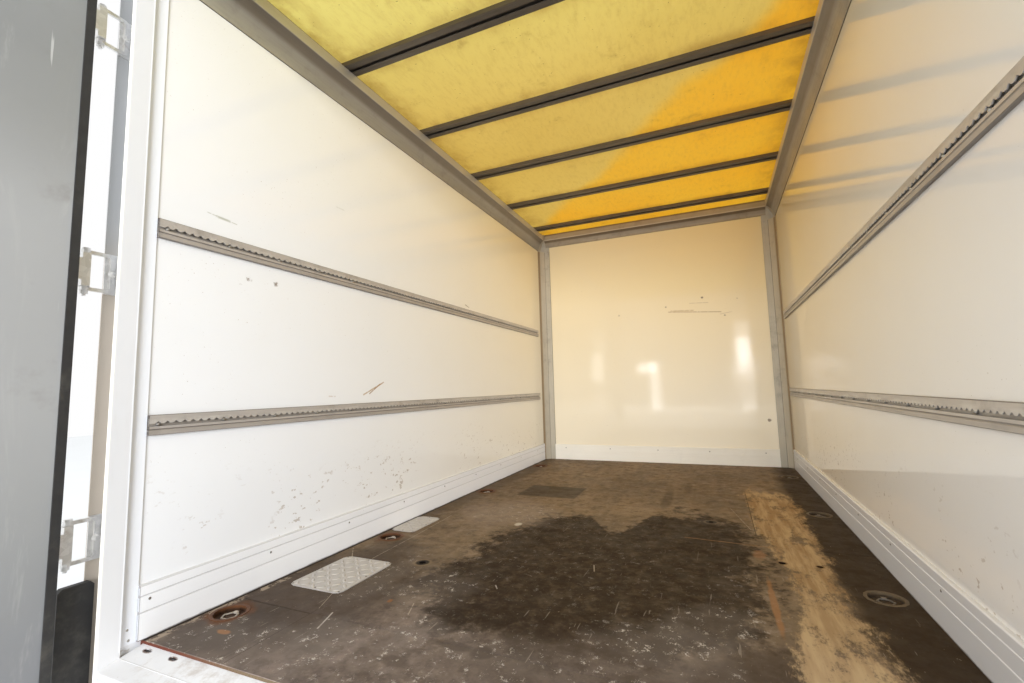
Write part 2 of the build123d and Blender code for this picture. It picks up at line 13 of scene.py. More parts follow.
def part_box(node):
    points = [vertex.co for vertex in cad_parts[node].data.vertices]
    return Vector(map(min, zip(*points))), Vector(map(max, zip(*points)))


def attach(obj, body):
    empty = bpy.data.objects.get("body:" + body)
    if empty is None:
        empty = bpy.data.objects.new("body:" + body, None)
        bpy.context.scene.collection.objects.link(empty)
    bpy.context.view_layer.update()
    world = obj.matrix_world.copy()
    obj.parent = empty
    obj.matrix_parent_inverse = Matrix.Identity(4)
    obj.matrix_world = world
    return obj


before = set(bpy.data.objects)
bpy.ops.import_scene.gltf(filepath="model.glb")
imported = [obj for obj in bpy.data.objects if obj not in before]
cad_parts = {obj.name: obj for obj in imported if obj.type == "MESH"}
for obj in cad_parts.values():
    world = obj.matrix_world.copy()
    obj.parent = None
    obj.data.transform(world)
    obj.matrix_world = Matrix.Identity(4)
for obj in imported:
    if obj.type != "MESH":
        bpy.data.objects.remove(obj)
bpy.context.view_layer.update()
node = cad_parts

# %% [markdown]
# Everything inside the box is easiest to place as it is measured: across from the left kick rail, forward
# from the rear ends of the rails, and up from the load floor. One small function turns such a place, in
# millimetres, into the frame's metres.

# %% Places inside the load space
floor_level = 0.221
half_width = (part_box("kick_rail_right")[0].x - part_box("kick_rail_left")[1].x) / 2
rail_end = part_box("kick_rail_left")[0].y


def inside(across, forward, up):
    return Vector((across / 1000 - half_width, forward / 1000 + rail_end, up / 1000 + floor_level))


clear_width, clear_length = half_width * 2000, 3492.0
first_bow, bow_pitch = 0.129, 0.625
cove_foot, front_foot = 2.036, 2.076
print("clear width", round(clear_width), "mm, rails end at y", round(rail_end, 4))

# %% [markdown]
# A finish is a Principled shader with a few procedural nodes in front of it. Writing the nodes out one by
# one is long, so this class keeps a short word for each kind. Places are read from Object coordinates and
# moved, so that a stain can be given in metres inside the load space. A section may call the finish it
# works on by one letter.


# %% A short way to write finishes
endless = 9.0    # metres: a blob this long on an axis has no end inside the box


class Finish:
    def __init__(self, name, **values):
        self.mat = bpy.data.materials.new(name)
        self.mat.use_nodes = True
        self.tree = self.mat.node_tree
        self.shader = self.tree.nodes["Principled BSDF"]
        where = self.add("TexCoord", {}, "Object")
        self.place = self.add("VectorMath", {0: where, 1: (half_width, -rail_end, -floor_level)})
        split = self.add("SeparateXYZ", {0: self.place}).node
        self.x, self.y, self.z = split.outputs
        self.kept = {}
        self.set(**values)

    def put(self, socket, value):
        if isinstance(value, bpy.types.NodeSocket):
            self.tree.links.new(value, socket)
        elif socket.type == "RGBA" and len(value) == 3:
            socket.default_value = (*value, 1)
        else:
            socket.default_value = value

    def set(self, **values):
        for key, value in values.items():
            self.put(self.shader.inputs[key.replace("_", " ")], value)

    def add(self, kind, inputs, out=0, **settings):
        # makes a node and hands back one of its outputs
        made = self.tree.nodes.new("ShaderNode" + kind)
        for key, value in settings.items():
            setattr(made, key, value)
        for key, value in inputs.items():
            self.put(made.inputs[key], value)
        return made.outputs[out]

    def math(self, how, a, b=0.0):
        return self.add("Math", {0: a, 1: b}, operation=how)

    def plus(self, a, b):
        return self.math("ADD", a, b)

    def minus(self, a, b):
        return self.math("SUBTRACT", a, b)

    def times(self, a, b):
        return self.math("MULTIPLY", a, b)

    def apart(self, a, b):
        return self.math("ABSOLUTE", self.minus(a, b))

    def sway(self, noise, amount):
        # a noise as a shift to and fro, half the amount either way at the most
        return self.times(self.minus(noise, 0.5), amount)

    def inboard(self):
        # distance from the rails' faces towards the middle of the load space
        return self.minus(half_width, self.apart(self.x, half_width))

    def noise(self, scale, detail=3.0, rough=0.55, stretch=(1, 1, 1), seed=0.0, warp=0.0):
        key = (scale, detail, rough, stretch, seed, warp)
        if key not in self.kept:
            shift = (seed * 3.17, seed * 1.73, seed * 2.41)
            place = self.add("VectorMath", {0: self.place, 1: stretch, 2: shift}, operation="MULTIPLY_ADD")
            self.kept[key] = self.add("TexNoise", {"Vector": place, "Scale": scale, "Detail": detail,
                                                   "Roughness": rough, "Distortion": warp})
        return self.kept[key]

    def step(self, value, low, high):
        return self.add("MapRange", {"Value": value, "From Min": low, "From Max": high},
                        interpolation_type="SMOOTHSTEP")

    def blots(self, low, high, *noise, **more):
        # a noise cut off between two values
        return self.step(self.noise(*noise, **more), low, high)

    def right_half(self):
        return self.step(self.x, 1.0, 1.1)

    def mix(self, share, a, b):
        return self.add("Mix", {0: share, 6: a, 7: b}, 2, data_type="RGBA")

    def cover(self, colour, mask, share, tone):
        # the tone lies on the colour where the mask is, as thickly as the share says
        return self.mix(self.times(mask, share), colour, tone)

    def paint(self, mask, share, tone):
        # one more layer on the colour so far
        self.colour = self.cover(self.colour, mask, share, tone)

    def blend(self, share, a, b):
        return self.add("Mix", {0: share, 2: a, 3: b}, 0, data_type="FLOAT")

    def both(self, *shares):
        return reduce(self.times, shares)

    def either(self, *shares):
        return reduce(lambda a, b: self.math("MAXIMUM", a, b), shares)

    def blob(self, centre, size, ragged=0.4, scale=9.0, soft=0.2):
        off = self.add("VectorMath", {0: self.place, 1: centre}, operation="SUBTRACT")
        off = self.add("VectorMath", {0: off, 1: size}, operation="DIVIDE")
        far = self.add("VectorMath", {0: off}, 1, operation="LENGTH")
        edge = self.sway(self.noise(scale, 3.0), 2 * ragged)
        return self.step(self.plus(far, edge), 1 + soft, 1 - soft)

    def spot(self, centre, size, ragged, scale, soft):
        # a blob in plan: it reaches through every height
        return self.blob((*centre, 0), (*size, endless), ragged, scale, soft)

    def bump(self, height, strength, distance):
        made = self.add("Bump", {"Strength": strength, "Distance": distance, "Height": height})
        if self.shader.inputs["Normal"].links:
            self.put(made.node.inputs["Normal"], self.shader.inputs["Normal"].links[0].from_socket)
        self.put(self.shader.inputs["Normal"], made)

    def on(self, *names):
        # gives this finish to CAD nodes
        for name in names:
            data = node[name].data
            data.materials.clear()
            data.materials.append(self.mat)
        print(self.mat.name, "on", ", ".join(names))


def pair(*stems):
    return [stem + side for stem in stems for side in ("_left", "_right")]


# %% [markdown]
# The camera stands in the doorway, a little over a metre above the ground and turned to the left. Its
# place and lens were solved from the rails, bows and wall corners in the photograph, so the picture's
# lines and the model's lines fall together. It uses a wide lens and no shift.

# %% Camera
lens = bpy.data.cameras.new("doorway_camera")
sensor_width, focal_pixels, picture_pixels = 36.0, 466.0, 1024
lens.sensor_width, lens.lens = sensor_width, focal_pixels / picture_pixels * sensor_width
lens.clip_start = 0.02
camera = bpy.data.objects.new("doorway_camera", lens)
bpy.context.scene.collection.objects.link(camera)
bpy.context.scene.camera = camera
yaw, pitch, roll = -0.4081, 0.10035, -0.0257    # radians
ahead = Vector((math.sin(yaw), math.cos(yaw), 0))
level = Vector((math.cos(yaw), -math.sin(yaw), 0))
look = ahead * math.cos(pitch) + Vector((0, 0, math.sin(pitch)))
top = Vector((0, 0, math.cos(pitch))) - ahead * math.sin(pitch)
right = level * math.cos(roll) + top * math.sin(roll)
up = top * math.cos(roll) - level * math.sin(roll)
turn = Matrix((right, up, -look)).transposed().to_4x4()
camera.matrix_world = Matrix.Translation(inside(1532.0, -843.5, 681.2)) @ turn
print("camera at", [round(v, 3) for v in camera.location], "lens", round(lens.lens, 2), "mm")

# %% [markdown]
# The floor and the white surroundings are a stage, not part of the object. The world is plain light. What
# the camera, a gloss or a glass sees of it is white, and what lights the box is set apart from that. Two
# wide lamps far behind the camera light the inside evenly and leave no hot spot. A few tall, dim ones are
# there for reflections alone: they give the glossy front wall its soft upright streaks.

# %% Stage and light
scene = bpy.context.scene
scene.view_settings.view_transform = "Standard"
sky_strength, doorway_watts, second_watts = 1.12, 2800.0, 1200.0

# what the glossy front wall shows of the daylight outside: across, width, low, high (mm), brightness
streaks = [("streak_right", 2378.0, 420.0, -200.0, 2700.0, 3.5),
           ("streak_mid", -330.0, 300.0, -200.0, 1450.0, 6.0),
           ("streak_core", 2360.0, 330.0, 850.0, 2150.0, 11.0),
           ("streak_pane", -560.0, 620.0, 1080.0, 1400.0, 8.0)]
streak_stand, streak_step = -9000.0, 100.0    # how far aft the first stands, and each next one nearer (mm)

world = bpy.data.worlds.new("plain_sky")
scene.world = world
world.use_nodes = True
sky = world.node_tree
sky.nodes.clear()
join = sky.links.new
path = sky.nodes.new("ShaderNodeLightPath")
seen = path.outputs["Is Camera Ray"]
for ray in ("Is Glossy Ray", "Is Transmission Ray"):
    either = sky.nodes.new("ShaderNodeMath")
    either.operation = "MAXIMUM"
    join(seen, either.inputs[0])
    join(path.outputs[ray], either.inputs[1])
    seen = either.outputs[0]
lit, shown, chosen = (sky.nodes.new("ShaderNode" + kind)
                      for kind in ("Background", "Background", "MixShader"))
lit.inputs["Color"].default_value = (0.94, 0.97, 1.0, 1)
lit.inputs["Strength"].default_value = sky_strength
shown.inputs["Color"].default_value = (1, 1, 1, 1)
join(seen, chosen.inputs[0])
join(lit.outputs[0], chosen.inputs[1])
join(shown.outputs[0], chosen.inputs[2])
join(chosen.outputs[0], sky.nodes.new("ShaderNodeOutputWorld").inputs[0])


def area_lamp(name, place, aim, size, watts, colour=(0.94, 0.965, 1.0), gloss=False):
    lamp = bpy.data.lights.new(name, "AREA")
    lamp.shape, lamp.size, lamp.size_y, lamp.energy, lamp.color = "RECTANGLE", size[0], size[1], watts, colour
    thing = bpy.data.objects.new(name, lamp)
    scene.collection.objects.link(thing)
    thing.location = place
    thing.rotation_euler = (Vector(aim) - Vector(place)).to_track_quat("-Z", "Y").to_euler()
    thing.visible_camera, thing.visible_glossy, thing.visible_diffuse = False, gloss, not gloss
    return thing


area_lamp("doorway_light", (4.6, -15.0, 2.3), (-0.5, 0.6, 1.0), (6.0, 4.6), doorway_watts)
area_lamp("doorway_light_left", (-4.4, -15.0, 3.2), (0.7, 0.4, 0.9), (6.0, 4.6), second_watts)
for i, (name, across, wide, low, high, glow) in enumerate(streaks):
    middle = inside(across, streak_stand + streak_step * i, (low + high) / 2)
    area_lamp(name, middle, middle + Vector((0, 1, 0)), (wide / 1000, (high - low) / 1000),
              glow * wide * (high - low) / 1e6 * math.pi, gloss=True)

stage_half, stage_level = 14.0, -0.0004
corners = [(-1, -1), (1, -1), (1, 1), (-1, 1)]
ground = bpy.data.meshes.new("studio_floor")
ground.from_pydata([(x * stage_half, y * stage_half, stage_level) for x, y in corners], [], [(0, 1, 2, 3)])
studio_floor = bpy.data.objects.new("studio_floor", ground)
scene.collection.objects.link(studio_floor)
pale = Finish("pale_floor", Roughness=0.9)
pale.set(Base_Color=pale.mix(pale.noise(3.0), (0.80, 0.80, 0.79), (0.84, 0.84, 0.83)))
ground.materials.append(pale.mat)
print("two far doorway lamps of", doorway_watts, "and", second_watts, "W, and a sky of", sky_strength)

# %% [markdown]
# The wall panels are plywood faced with a glossy off-white resin skin. Such a skin is slightly wavy, which
# breaks up reflections, and it carries small knocks from cargo: thin scratches, pinprick chips and specks
# above the kick rail. The yellow towards the front and under the roof is painted light from the yellow roof,
# and the darker right wall is painted shade. The scratches and the larger chips are placed one by one
# because the eye looks for them.

# %% Wall panels
# painted light: the right wall's darker tones are painted shade, and every wall turns yellower towards the
# front and the top with painted light from the yellow roof
#          rear low, rear high, front low, front high
side_tones_with_painted_light = {"left": ((0.905, 0.92, 0.95), (0.89, 0.885, 0.88), (0.94, 0.90, 0.79), (0.92, 0.81, 0.55)),
              "right": ((0.86, 0.84, 0.82), (0.70, 0.66, 0.61), (0.87, 0.78, 0.62), (0.80, 0.69, 0.44))}
outer_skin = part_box("wall_front")[0].y - rail_end + 0.008    # within the front wall: beyond it is outdoors


def streak(paint, start, end, wide, plan="xy"):
    # a thin line between two places in a plan: the distance from the line, cut off past its ends
    a = Vector(start)
    run = Vector(end) - a
    along = run.normalized()
    dx = paint.minus(getattr(paint, plan[0]), a[0])
    dy = paint.minus(getattr(paint, plan[1]), a[1])
    side = paint.apart(paint.times(dx, along.y), paint.times(dy, along.x))
    length = paint.plus(paint.times(dx, along.x), paint.times(dy, along.y))
    reach = run.length / 2
    middle = paint.apart(length, reach)
    return paint.both(paint.step(side, wide, wide * 0.3), paint.step(middle, reach, reach - wide))


#          wall, start, end (forward or across, then up, m), half width, share, colour
scratches = [("left", (0.150, 1.303), (0.262, 1.293), 0.0026, 0.50, (0.36, 0.35, 0.26)),
             ("left", (0.180, 1.299), (0.238, 1.296), 0.0065, 0.55, (0.40, 0.40, 0.30)),
             ("left", (0.922, 0.668), (1.077, 0.730), 0.0050, 0.75, (0.45, 0.27, 0.10)),
             ("left", (0.965, 0.672), (1.050, 0.722), 0.0040, 0.85, (0.36, 0.20, 0.08)),
             ("left", (0.705, 0.668), (0.748, 0.666), 0.0036, 0.45, (0.45, 0.30, 0.18)),
             ("left", (0.735, 1.531), (0.790, 1.531), 0.0040, 0.25, (0.45, 0.44, 0.36)),
             ("left", (1.930, 1.262), (1.990, 1.250), 0.0060, 0.65, (0.25, 0.17, 0.09)),
             ("front", (1.18, 1.325), (1.62, 1.290), 0.0065, 0.80, (0.50, 0.36, 0.20)),
             ("front", (1.20, 1.332), (1.40, 1.322), 0.0080, 0.60, (0.50, 0.36, 0.20)),
             ("front", (1.36, 1.388), (1.52, 1.380), 0.0045, 0.55, (0.50, 0.38, 0.22)),
             ("front", (1.60, 1.270), (1.70, 1.285), 0.0040, 0.50, (0.45, 0.33, 0.20))]
#         wall, across, forward, up (m), half size, share
chips = [("left", (0, 0.312, 1.103), 0.013, 0.85), ("left", (0, 0.284, 1.078), 0.010, 0.5),
         ("left", (0, 0.427, 1.107), 0.013, 0.95), ("left", (0, 0.467, 1.156), 0.008, 0.8),
         ("left", (0, 0.300, 1.125), 0.009, 0.4), ("left", (0, 1.810, 0.165), 0.010, 0.5),
         ("front", (1.470, 3.5, 1.428), 0.011, 0.85),
         ("front", (1.165, 3.5, 1.372), 0.008, 0.6), ("front", (1.640, 3.5, 1.258), 0.009, 0.5),
         ("front", (1.745, 3.5, 1.395), 0.006, 0.5), ("front", (1.915, 3.5, 0.370), 0.014, 0.75),
         ("front", (0.745, 3.5, 1.330), 0.010, 0.3)]


def wall_finish(side):
    w = Finish("wall_face_" + side, IOR=1.5)
    if side == "front":
        # painted light: the front wall turns yellower towards the top with painted light from the yellow
        # roof, and it is darker towards the left
        w.colour = w.mix(w.step(w.z, 0.1, 2.1), (0.915, 0.84, 0.68), (0.84, 0.685, 0.385))
        w.paint(w.step(w.x, 1.6, 0.4), 0.45, (0.72, 0.62, 0.44))
    else:
        rear_low, rear_high, front_low, front_high = side_tones_with_painted_light[side]
        far, high = w.step(w.y, 0.1, 3.3), w.step(w.z, 0.3, 2.2)
        w.colour = w.mix(far, w.mix(high, rear_low, rear_high), w.mix(high, front_low, front_high))
    mottle = w.blots(0.5, 0.8, 1.7, 3.0, 0.6, seed=3)
    w.paint(mottle, 0.10, (0.78, 0.72, 0.62))
    clouds = w.noise(2.6, 2.0, seed=6)
    pricks = w.both(w.blots(0.74, 0.80, 160.0, 1.0, seed=1), w.step(clouds, 0.48, 0.60))
    w.paint(pricks, 0.5, (0.30, 0.20, 0.12))
    if side != "front":
        knocks = w.blots(0.625, 0.675, 55.0, 2.0, 0.65, (1, 0.6, 1), 9.0)
        low_specks = w.both(w.step(w.z, 0.50, 0.25), knocks, w.step(clouds, 0.42, 0.58))
        w.paint(low_specks, 0.5, (0.30, 0.20, 0.12))
    if side != "right":
        worn = w.blots(0.30, 0.50, 45.0, 3.0, 0.7, seed=4)
    for where, start, end, wide, share, dirt in scratches:
        if where == side:
            line = w.both(streak(w, start, end, wide, "yz" if side == "left" else "xz"), worn)
            w.paint(line, share, dirt)
    for where, centre, size, share in chips:
        if where == side:
            mark = w.blob(centre, (size, size * 1.2, size * 0.8), 0.8, 110.0, 0.3)
            w.paint(mark, share, (0.16, 0.10, 0.06))
    # outdoors the same panels are weathered: rain has run down them and road dirt clings to the foot
    if side == "front":
        outdoors = w.step(w.y, outer_skin, outer_skin + 0.006)
    else:
        outdoors = w.step(w.inboard(), -0.020, -0.026)
    weather = w.mix(mottle, (0.53, 0.53, 0.525), (0.46, 0.46, 0.455))
    runs = w.both(w.blots(0.48, 0.70, 14.0, 2.0, 0.7, (1, 1, 0.05), 12.0), w.step(w.z, 0.2, 2.2))
    weather = w.cover(weather, runs, 0.55, (0.34, 0.335, 0.31))
    road = w.step(w.minus(w.z, w.times(clouds, 0.7)), 0.25, -0.40)
    weather = w.cover(weather, road, 0.60, (0.27, 0.24, 0.20))
    w.set(Base_Color=w.mix(outdoors, w.colour, weather),
          Roughness=w.blend(outdoors, w.blend(mottle, 0.06, 0.12), 0.40))
    w.bump(w.noise(1.3, 1.0, 0.4, (1, 1, 0.35), 4.0), 0.22, 0.02)
    w.bump(w.noise(7.0, 1.0, 0.5, (1, 1, 0.3), 5.0), 0.05, 0.004)
    w.on("wall_" + side)


for side in ("left", "right", "front"):
    wall_finish(side)
print("wall face with", len(scratches), "scratches and", len(chips), "chips")

# %% [markdown]
# The floor is dark film-faced plywood. Years of pallets have scrubbed the film to a dull brown, a damp
# patch in the middle is nearly black, and near the right side the film is gone down to bare wood. Near the
# doorway the film is a paler purple-grey, partly scrub wear and partly a painted sheen. Each region is a
# mask in plan, and noise frays its edge along the grain. The ground tones come first.
# region is a mask in plan, and noise frays its edge along the grain. The ground tones come first.

# %% Floor sheets
f = Finish("worn_floor_film", IOR=1.45, Specular_IOR_Level=0.10)
grain = f.noise(34.0, 3.0, 0.65, (1.0, 0.10, 1.0))
fine = f.noise(190.0, 2.0, 0.7, (1.0, 0.25, 1.0), 2.0)
cloud = f.noise(1.9, 3.0, 0.62, seed=4)
scrub = f.noise(12.0, 4.0, 0.75, seed=6)
near = f.step(f.y, 0.75, 0.30)
f.colour = f.mix(f.step(cloud, 0.30, 0.72), (0.180, 0.128, 0.080), (0.275, 0.198, 0.124))
# partly painted sheen: near the doorway the film turns a paler purple-grey, from scrub wear and from a
# painted sheen
scrub_and_sheen_tone = f.mix(f.step(scrub, 0.25, 0.75), (0.105, 0.077, 0.064), (0.255, 0.200, 0.172))
f.colour = f.mix(near, f.colour, scrub_and_sheen_tone)
streaky = f.blots(0.42, 0.68, 9.0, 3.0, 0.7, (1.0, 0.12, 1.0), 13.0)
f.paint(streaky, 0.30, (0.105, 0.074, 0.045))
mottle = f.noise(17.0, 5.0, 0.78, seed=31)
f.paint(f.step(mottle, 0.52, 0.36), 0.55, (0.062, 0.043, 0.030))
f.paint(f.step(mottle, 0.53, 0.66), 0.40, (0.330, 0.262, 0.205))
print("ground tones,", len(f.tree.nodes), "nodes")


def curve_of(paint, value, points):
    # a smooth curve through points whose places and heights lie between 0 and 1
    made = paint.add("FloatCurve", {"Value": value})
    line = made.node.mapping.curves[0]
    line.points[0].location, line.points[1].location = (0.0, points[0][1]), (1.0, points[-1][1])
    for place, height in points:
        line.points.new(place, height)
    made.node.mapping.update()
    return made


def outline(paint, centre, points):
    # how far out a place lies: 1 on the outline, less inside it. The points run once round the centre
    dx, dy = paint.minus(paint.x, centre[0]), paint.minus(paint.y, centre[1])
    turn = paint.plus(paint.math("DIVIDE", paint.math("ARCTAN2", dy, dx), 2 * math.pi), 0.5)
    polar = sorted((math.atan2(y - centre[1], x - centre[0]) / (2 * math.pi) + 0.5,
                    math.hypot(x - centre[0], y - centre[1])) for x, y in points)
    reach = curve_of(paint, turn, polar)
    span = paint.math("POWER", paint.plus(paint.times(dx, dx), paint.times(dy, dy)), 0.5)
    return paint.math("DIVIDE", span, reach)


# %% [markdown]
# The damp patch has two lobes that reach forward, and a soft, clouded edge. Its outline is given by points
# round it, and a curve of their distance from the middle gives every other direction. An ellipse would be
# simpler, but it has no lobes, and a painted mask would need a picture file.

# %% Damp patch and stains
#            across, forward (m)
damp_edge = [(1.22, 1.80), (1.31, 1.87), (1.47, 1.80), (1.60, 1.60), (1.66, 1.32), (1.65, 1.02), (1.60, 0.74),
             (1.44, 0.45), (1.14, 0.33), (0.82, 0.37), (0.62, 0.50), (0.53, 0.72), (0.54, 1.00), (0.57, 1.22),
             (0.62, 1.45), (0.72, 1.58), (0.85, 1.66), (0.94, 1.55), (1.01, 1.46), (1.09, 1.46), (1.15, 1.62)]
fray = f.sway(f.noise(4.0, 4.0, 0.74, seed=16), 0.85)
far_out = f.plus(outline(f, (1.10, 1.08), damp_edge), fray)
far_out = f.plus(far_out, f.sway(mottle, 0.50))
damp = f.step(far_out, 1.10, 0.88)
wet = f.mix(f.step(mottle, 0.44, 0.72), (0.020, 0.011, 0.005), (0.070, 0.047, 0.029))
f.paint(damp, 0.93, wet)
#         across, forward (m), half sizes, raggedness, share, colour
stains = [((1.985, 1.60), (0.120, 2.30), 0.35, 0.90, (0.034, 0.021, 0.011)),
          ((1.620, 0.380), (0.170, 0.200), 0.50, 0.70, (0.060, 0.042, 0.030)),
          ((0.020, 2.40), (0.110, 1.20), 0.45, 0.55, (0.080, 0.056, 0.034)),
          ((0.160, 0.150), (0.150, 0.140), 0.25, 0.70, (0.092, 0.075, 0.070)),
          ((0.240, 0.480), (0.300, 0.460), 0.60, 0.72, (0.062, 0.044, 0.032)),
          ((1.250, 0.300), (0.420, 0.170), 0.70, 0.60, (0.078, 0.056, 0.042)),
          ((0.850, 0.300), (0.055, 0.020), 0.40, 0.75, (0.050, 0.033, 0.022)),
          ((0.930, 0.297), (0.030, 0.030), 0.45, 0.75, (0.045, 0.030, 0.020)),
          ((0.735, 0.185), (0.045, 0.024), 0.45, 0.60, (0.060, 0.042, 0.030)),
          ((0.500, 0.152), (0.035, 0.020), 0.45, 0.60, (0.060, 0.042, 0.030)),
          ((0.430, 1.560), (0.260, 0.260), 0.80, 0.40, (0.300, 0.235, 0.190)),
          ((1.225, 2.120), (0.030, 0.230), 0.55, 0.55, (0.070, 0.048, 0.026)),
          ((1.325, 2.520), (0.022, 0.180), 0.55, 0.45, (0.080, 0.055, 0.030)),
          ((1.070, 2.560), (0.120, 0.110), 0.60, 0.30, (0.090, 0.062, 0.036)),
          ((1.655, 0.850), (0.010, 0.190), 0.45, 0.75, (0.330, 0.165, 0.070)),
          ((1.650, 1.300), (0.022, 0.050), 0.90, 0.60, (0.280, 0.135, 0.060)),
          ((0.178, 0.127), (0.026, 0.010), 0.50, 0.75, (0.400, 0.170, 0.050)),
          ((0.510, 0.460), (0.009, 0.012), 0.60, 0.70, (0.300, 0.120, 0.040)),
          ((0.575, 1.390), (0.017, 0.026), 0.25, 0.95, (0.560, 0.510, 0.430))]
wide_stain, wide_fray, small_fray = 0.2, 4.0, 22.0
for centre, size, ragged, share, tone in stains:
    stain = f.spot(centre, size, ragged, wide_fray if max(size) > wide_stain else small_fray, 0.3)
    f.paint(stain, share, tone)
print("damp patch,", len(stains), "stains")

# %% [markdown]
# Pale scuffs lie in clusters: scraped patches of film, each broken up by a fine noise. Between them are
# flecks all over and hair-thin scratches that run forward. One noise over the whole floor would spread the
# scuffs evenly, so each cluster is a zone of its own.

# %% Floor scuffs
broken = f.blots(0.582, 0.624, 33.0, 6.0, 0.84, seed=8)
#          across, forward (m), half sizes, share
clusters = [((0.500, 0.230), (0.130, 0.085), 1.00), ((0.700, 0.320), (0.070, 0.090), 1.00),
            ((1.370, 0.480), (0.170, 0.110), 1.00), ((1.480, 0.640), (0.120, 0.130), 0.85),
            ((0.600, 0.580), (0.130, 0.150), 0.80), ((1.100, 0.330), (0.320, 0.080), 0.70),
            ((0.370, 0.620), (0.060, 0.250), 0.75), ((0.480, 1.600), (0.220, 0.190), 0.75),
            ((1.560, 0.850), (0.090, 0.280), 0.40), ((0.900, 1.100), (0.600, 0.600), 0.20),
            ((0.850, 0.200), (0.300, 0.120), 0.70), ((0.330, 0.090), (0.300, 0.120), 1.00)]
for centre, size, share in clusters:
    zone = f.spot(centre, size, 0.7, 9.0, 0.45)
    f.paint(zone, 0.25 * share * share, (0.30, 0.255, 0.225))
    f.paint(f.both(zone, broken), share, (0.58, 0.53, 0.48))
flecks = f.both(f.blots(0.695, 0.735, 120.0, 3.0, 0.6, (1, 0.45, 1), 24.0), f.step(f.y, 3.3, 0.9))
f.paint(flecks, 0.55, (0.45, 0.38, 0.31))
hairs = f.both(f.blots(0.705, 0.72, 26.0, 2.0, 0.5, (3.2, 0.22, 1), 26.0), f.step(f.y, 2.2, 0.3))
f.paint(hairs, 0.35, (0.42, 0.36, 0.30))
print(len(clusters), "clusters of scuffs")

# %% [markdown]
# Along the right side a track is scrubbed down to bare wood. Its left and right edges wander, and each is a
# smooth curve of how far across the edge lies at a distance forward. A Float Curve node holds such a curve
# in a few points, where a sum of waves would be hard to steer.

# %% Bare track
#             forward, across (m)
track_left = [(0.45, 1.668), (0.811, 1.716), (1.083, 1.734), (1.237, 1.728), (1.424, 1.706), (1.738, 1.657),
              (2.457, 1.655)]
track_right = [(0.45, 1.862), (0.728, 1.882), (0.881, 1.866), (1.117, 1.860), (1.374, 1.872), (1.968, 1.886),
               (2.439, 1.880)]
curve_length, curve_base = 3.6, 1.2    # metres: they bring the edges' places to between 0 and 1


def wandering(paint, points):
    value = paint.math("DIVIDE", paint.y, curve_length)
    scaled = [(forward / curve_length, across - curve_base) for forward, across in points]
    return paint.plus(curve_of(paint, value, scaled), curve_base)


rough_edge = f.sway(f.noise(13.0, 5.0, 0.80, (1, 0.40, 1), 12.0), 0.22)
across = f.plus(f.x, rough_edge)
over = f.plus(f.y, f.sway(f.noise(18.0, 2.0, 0.7, (1, 0.2, 1), 7.0), 0.5))
track = f.both(f.step(f.minus(across, wandering(f, track_left)), -0.018, 0.018),
               f.step(f.minus(across, wandering(f, track_right)), 0.026, -0.020),
               f.step(over, 2.56, 2.40))
left_over = f.blots(0.36, 0.52, 15.0, 5.0, 0.82, (1, 0.45, 1), 15.0)
bare = f.mix(f.step(grain, 0.38, 0.66), (0.36, 0.228, 0.112), (0.53, 0.375, 0.205))
bare = f.cover(bare, f.step(cloud, 0.40, 0.68), 0.6, (0.62, 0.465, 0.275))
bare = f.cover(bare, f.step(f.y, 0.9, 0.4), 0.45, (0.66, 0.50, 0.32))
f.paint(f.both(track, left_over), 0.92, bare)
print("bare track, its edges given from", track_left[0][0], "m forward")

# %% [markdown]
# What is left are small things in their places: a darker square patch, rust that has bled from the pots,
# rings round the worn holes with painted shade in the holes, seams and long scratches, crumbs in the left
# corner, and the sheets' edges. They come last because each lies on top of what was laid before it.

# %% Patch, pots, seams and edges
fade = f.plus(f.x, f.sway(scrub, 0.05))
patch = f.both(f.step(fade, 0.300, 0.322), f.step(fade, 0.700, 0.686), f.step(f.y, 1.975, 2.000),
               f.step(f.y, 2.310, 2.290))
f.paint(patch, 0.80, (0.066, 0.048, 0.032))
pots = [(x, y) for y in (0.215, 1.012, 2.025, 3.070) for x in (0.080, 1.975)]
for x, y in pots:
    rusty_side = (0.150, 0.060, 0.024) if x < 1 else (0.048, 0.033, 0.022)
    bleed = f.spot((x, y), (0.066, 0.070), 0.50, 22.0, 0.30)
    f.paint(bleed, 0.75, rusty_side)
left_hole, mid_hole, track_holes = (0.416, 0.783), (1.468, 1.723), ((1.719, 1.237), (1.841, 1.239))
#        place, radius (m), share, colour
rings = [(track_holes[0], 0.018, 0.95, (0.20, 0.12, 0.06)), (track_holes[1], 0.015, 0.95, (0.20, 0.12, 0.06)),
         (left_hole, 0.036, 0.70, (0.24, 0.17, 0.10)), (mid_hole, 0.036, 0.70, (0.17, 0.12, 0.075)),
         (left_hole, 0.027, 0.95, (0.012, 0.009, 0.007)), (mid_hole, 0.025, 0.95, (0.020, 0.014, 0.010))]
# painted shade: the near-black discs at the left and middle holes stand for the shade in the holes
for place, size, share, tone in rings:
    f.paint(f.spot(place, (size, size), 0.15, 22.0, 0.2), share, tone)
pale, dark, orange = (0.44, 0.37, 0.29), (0.035, 0.024, 0.016), (0.36, 0.19, 0.08)
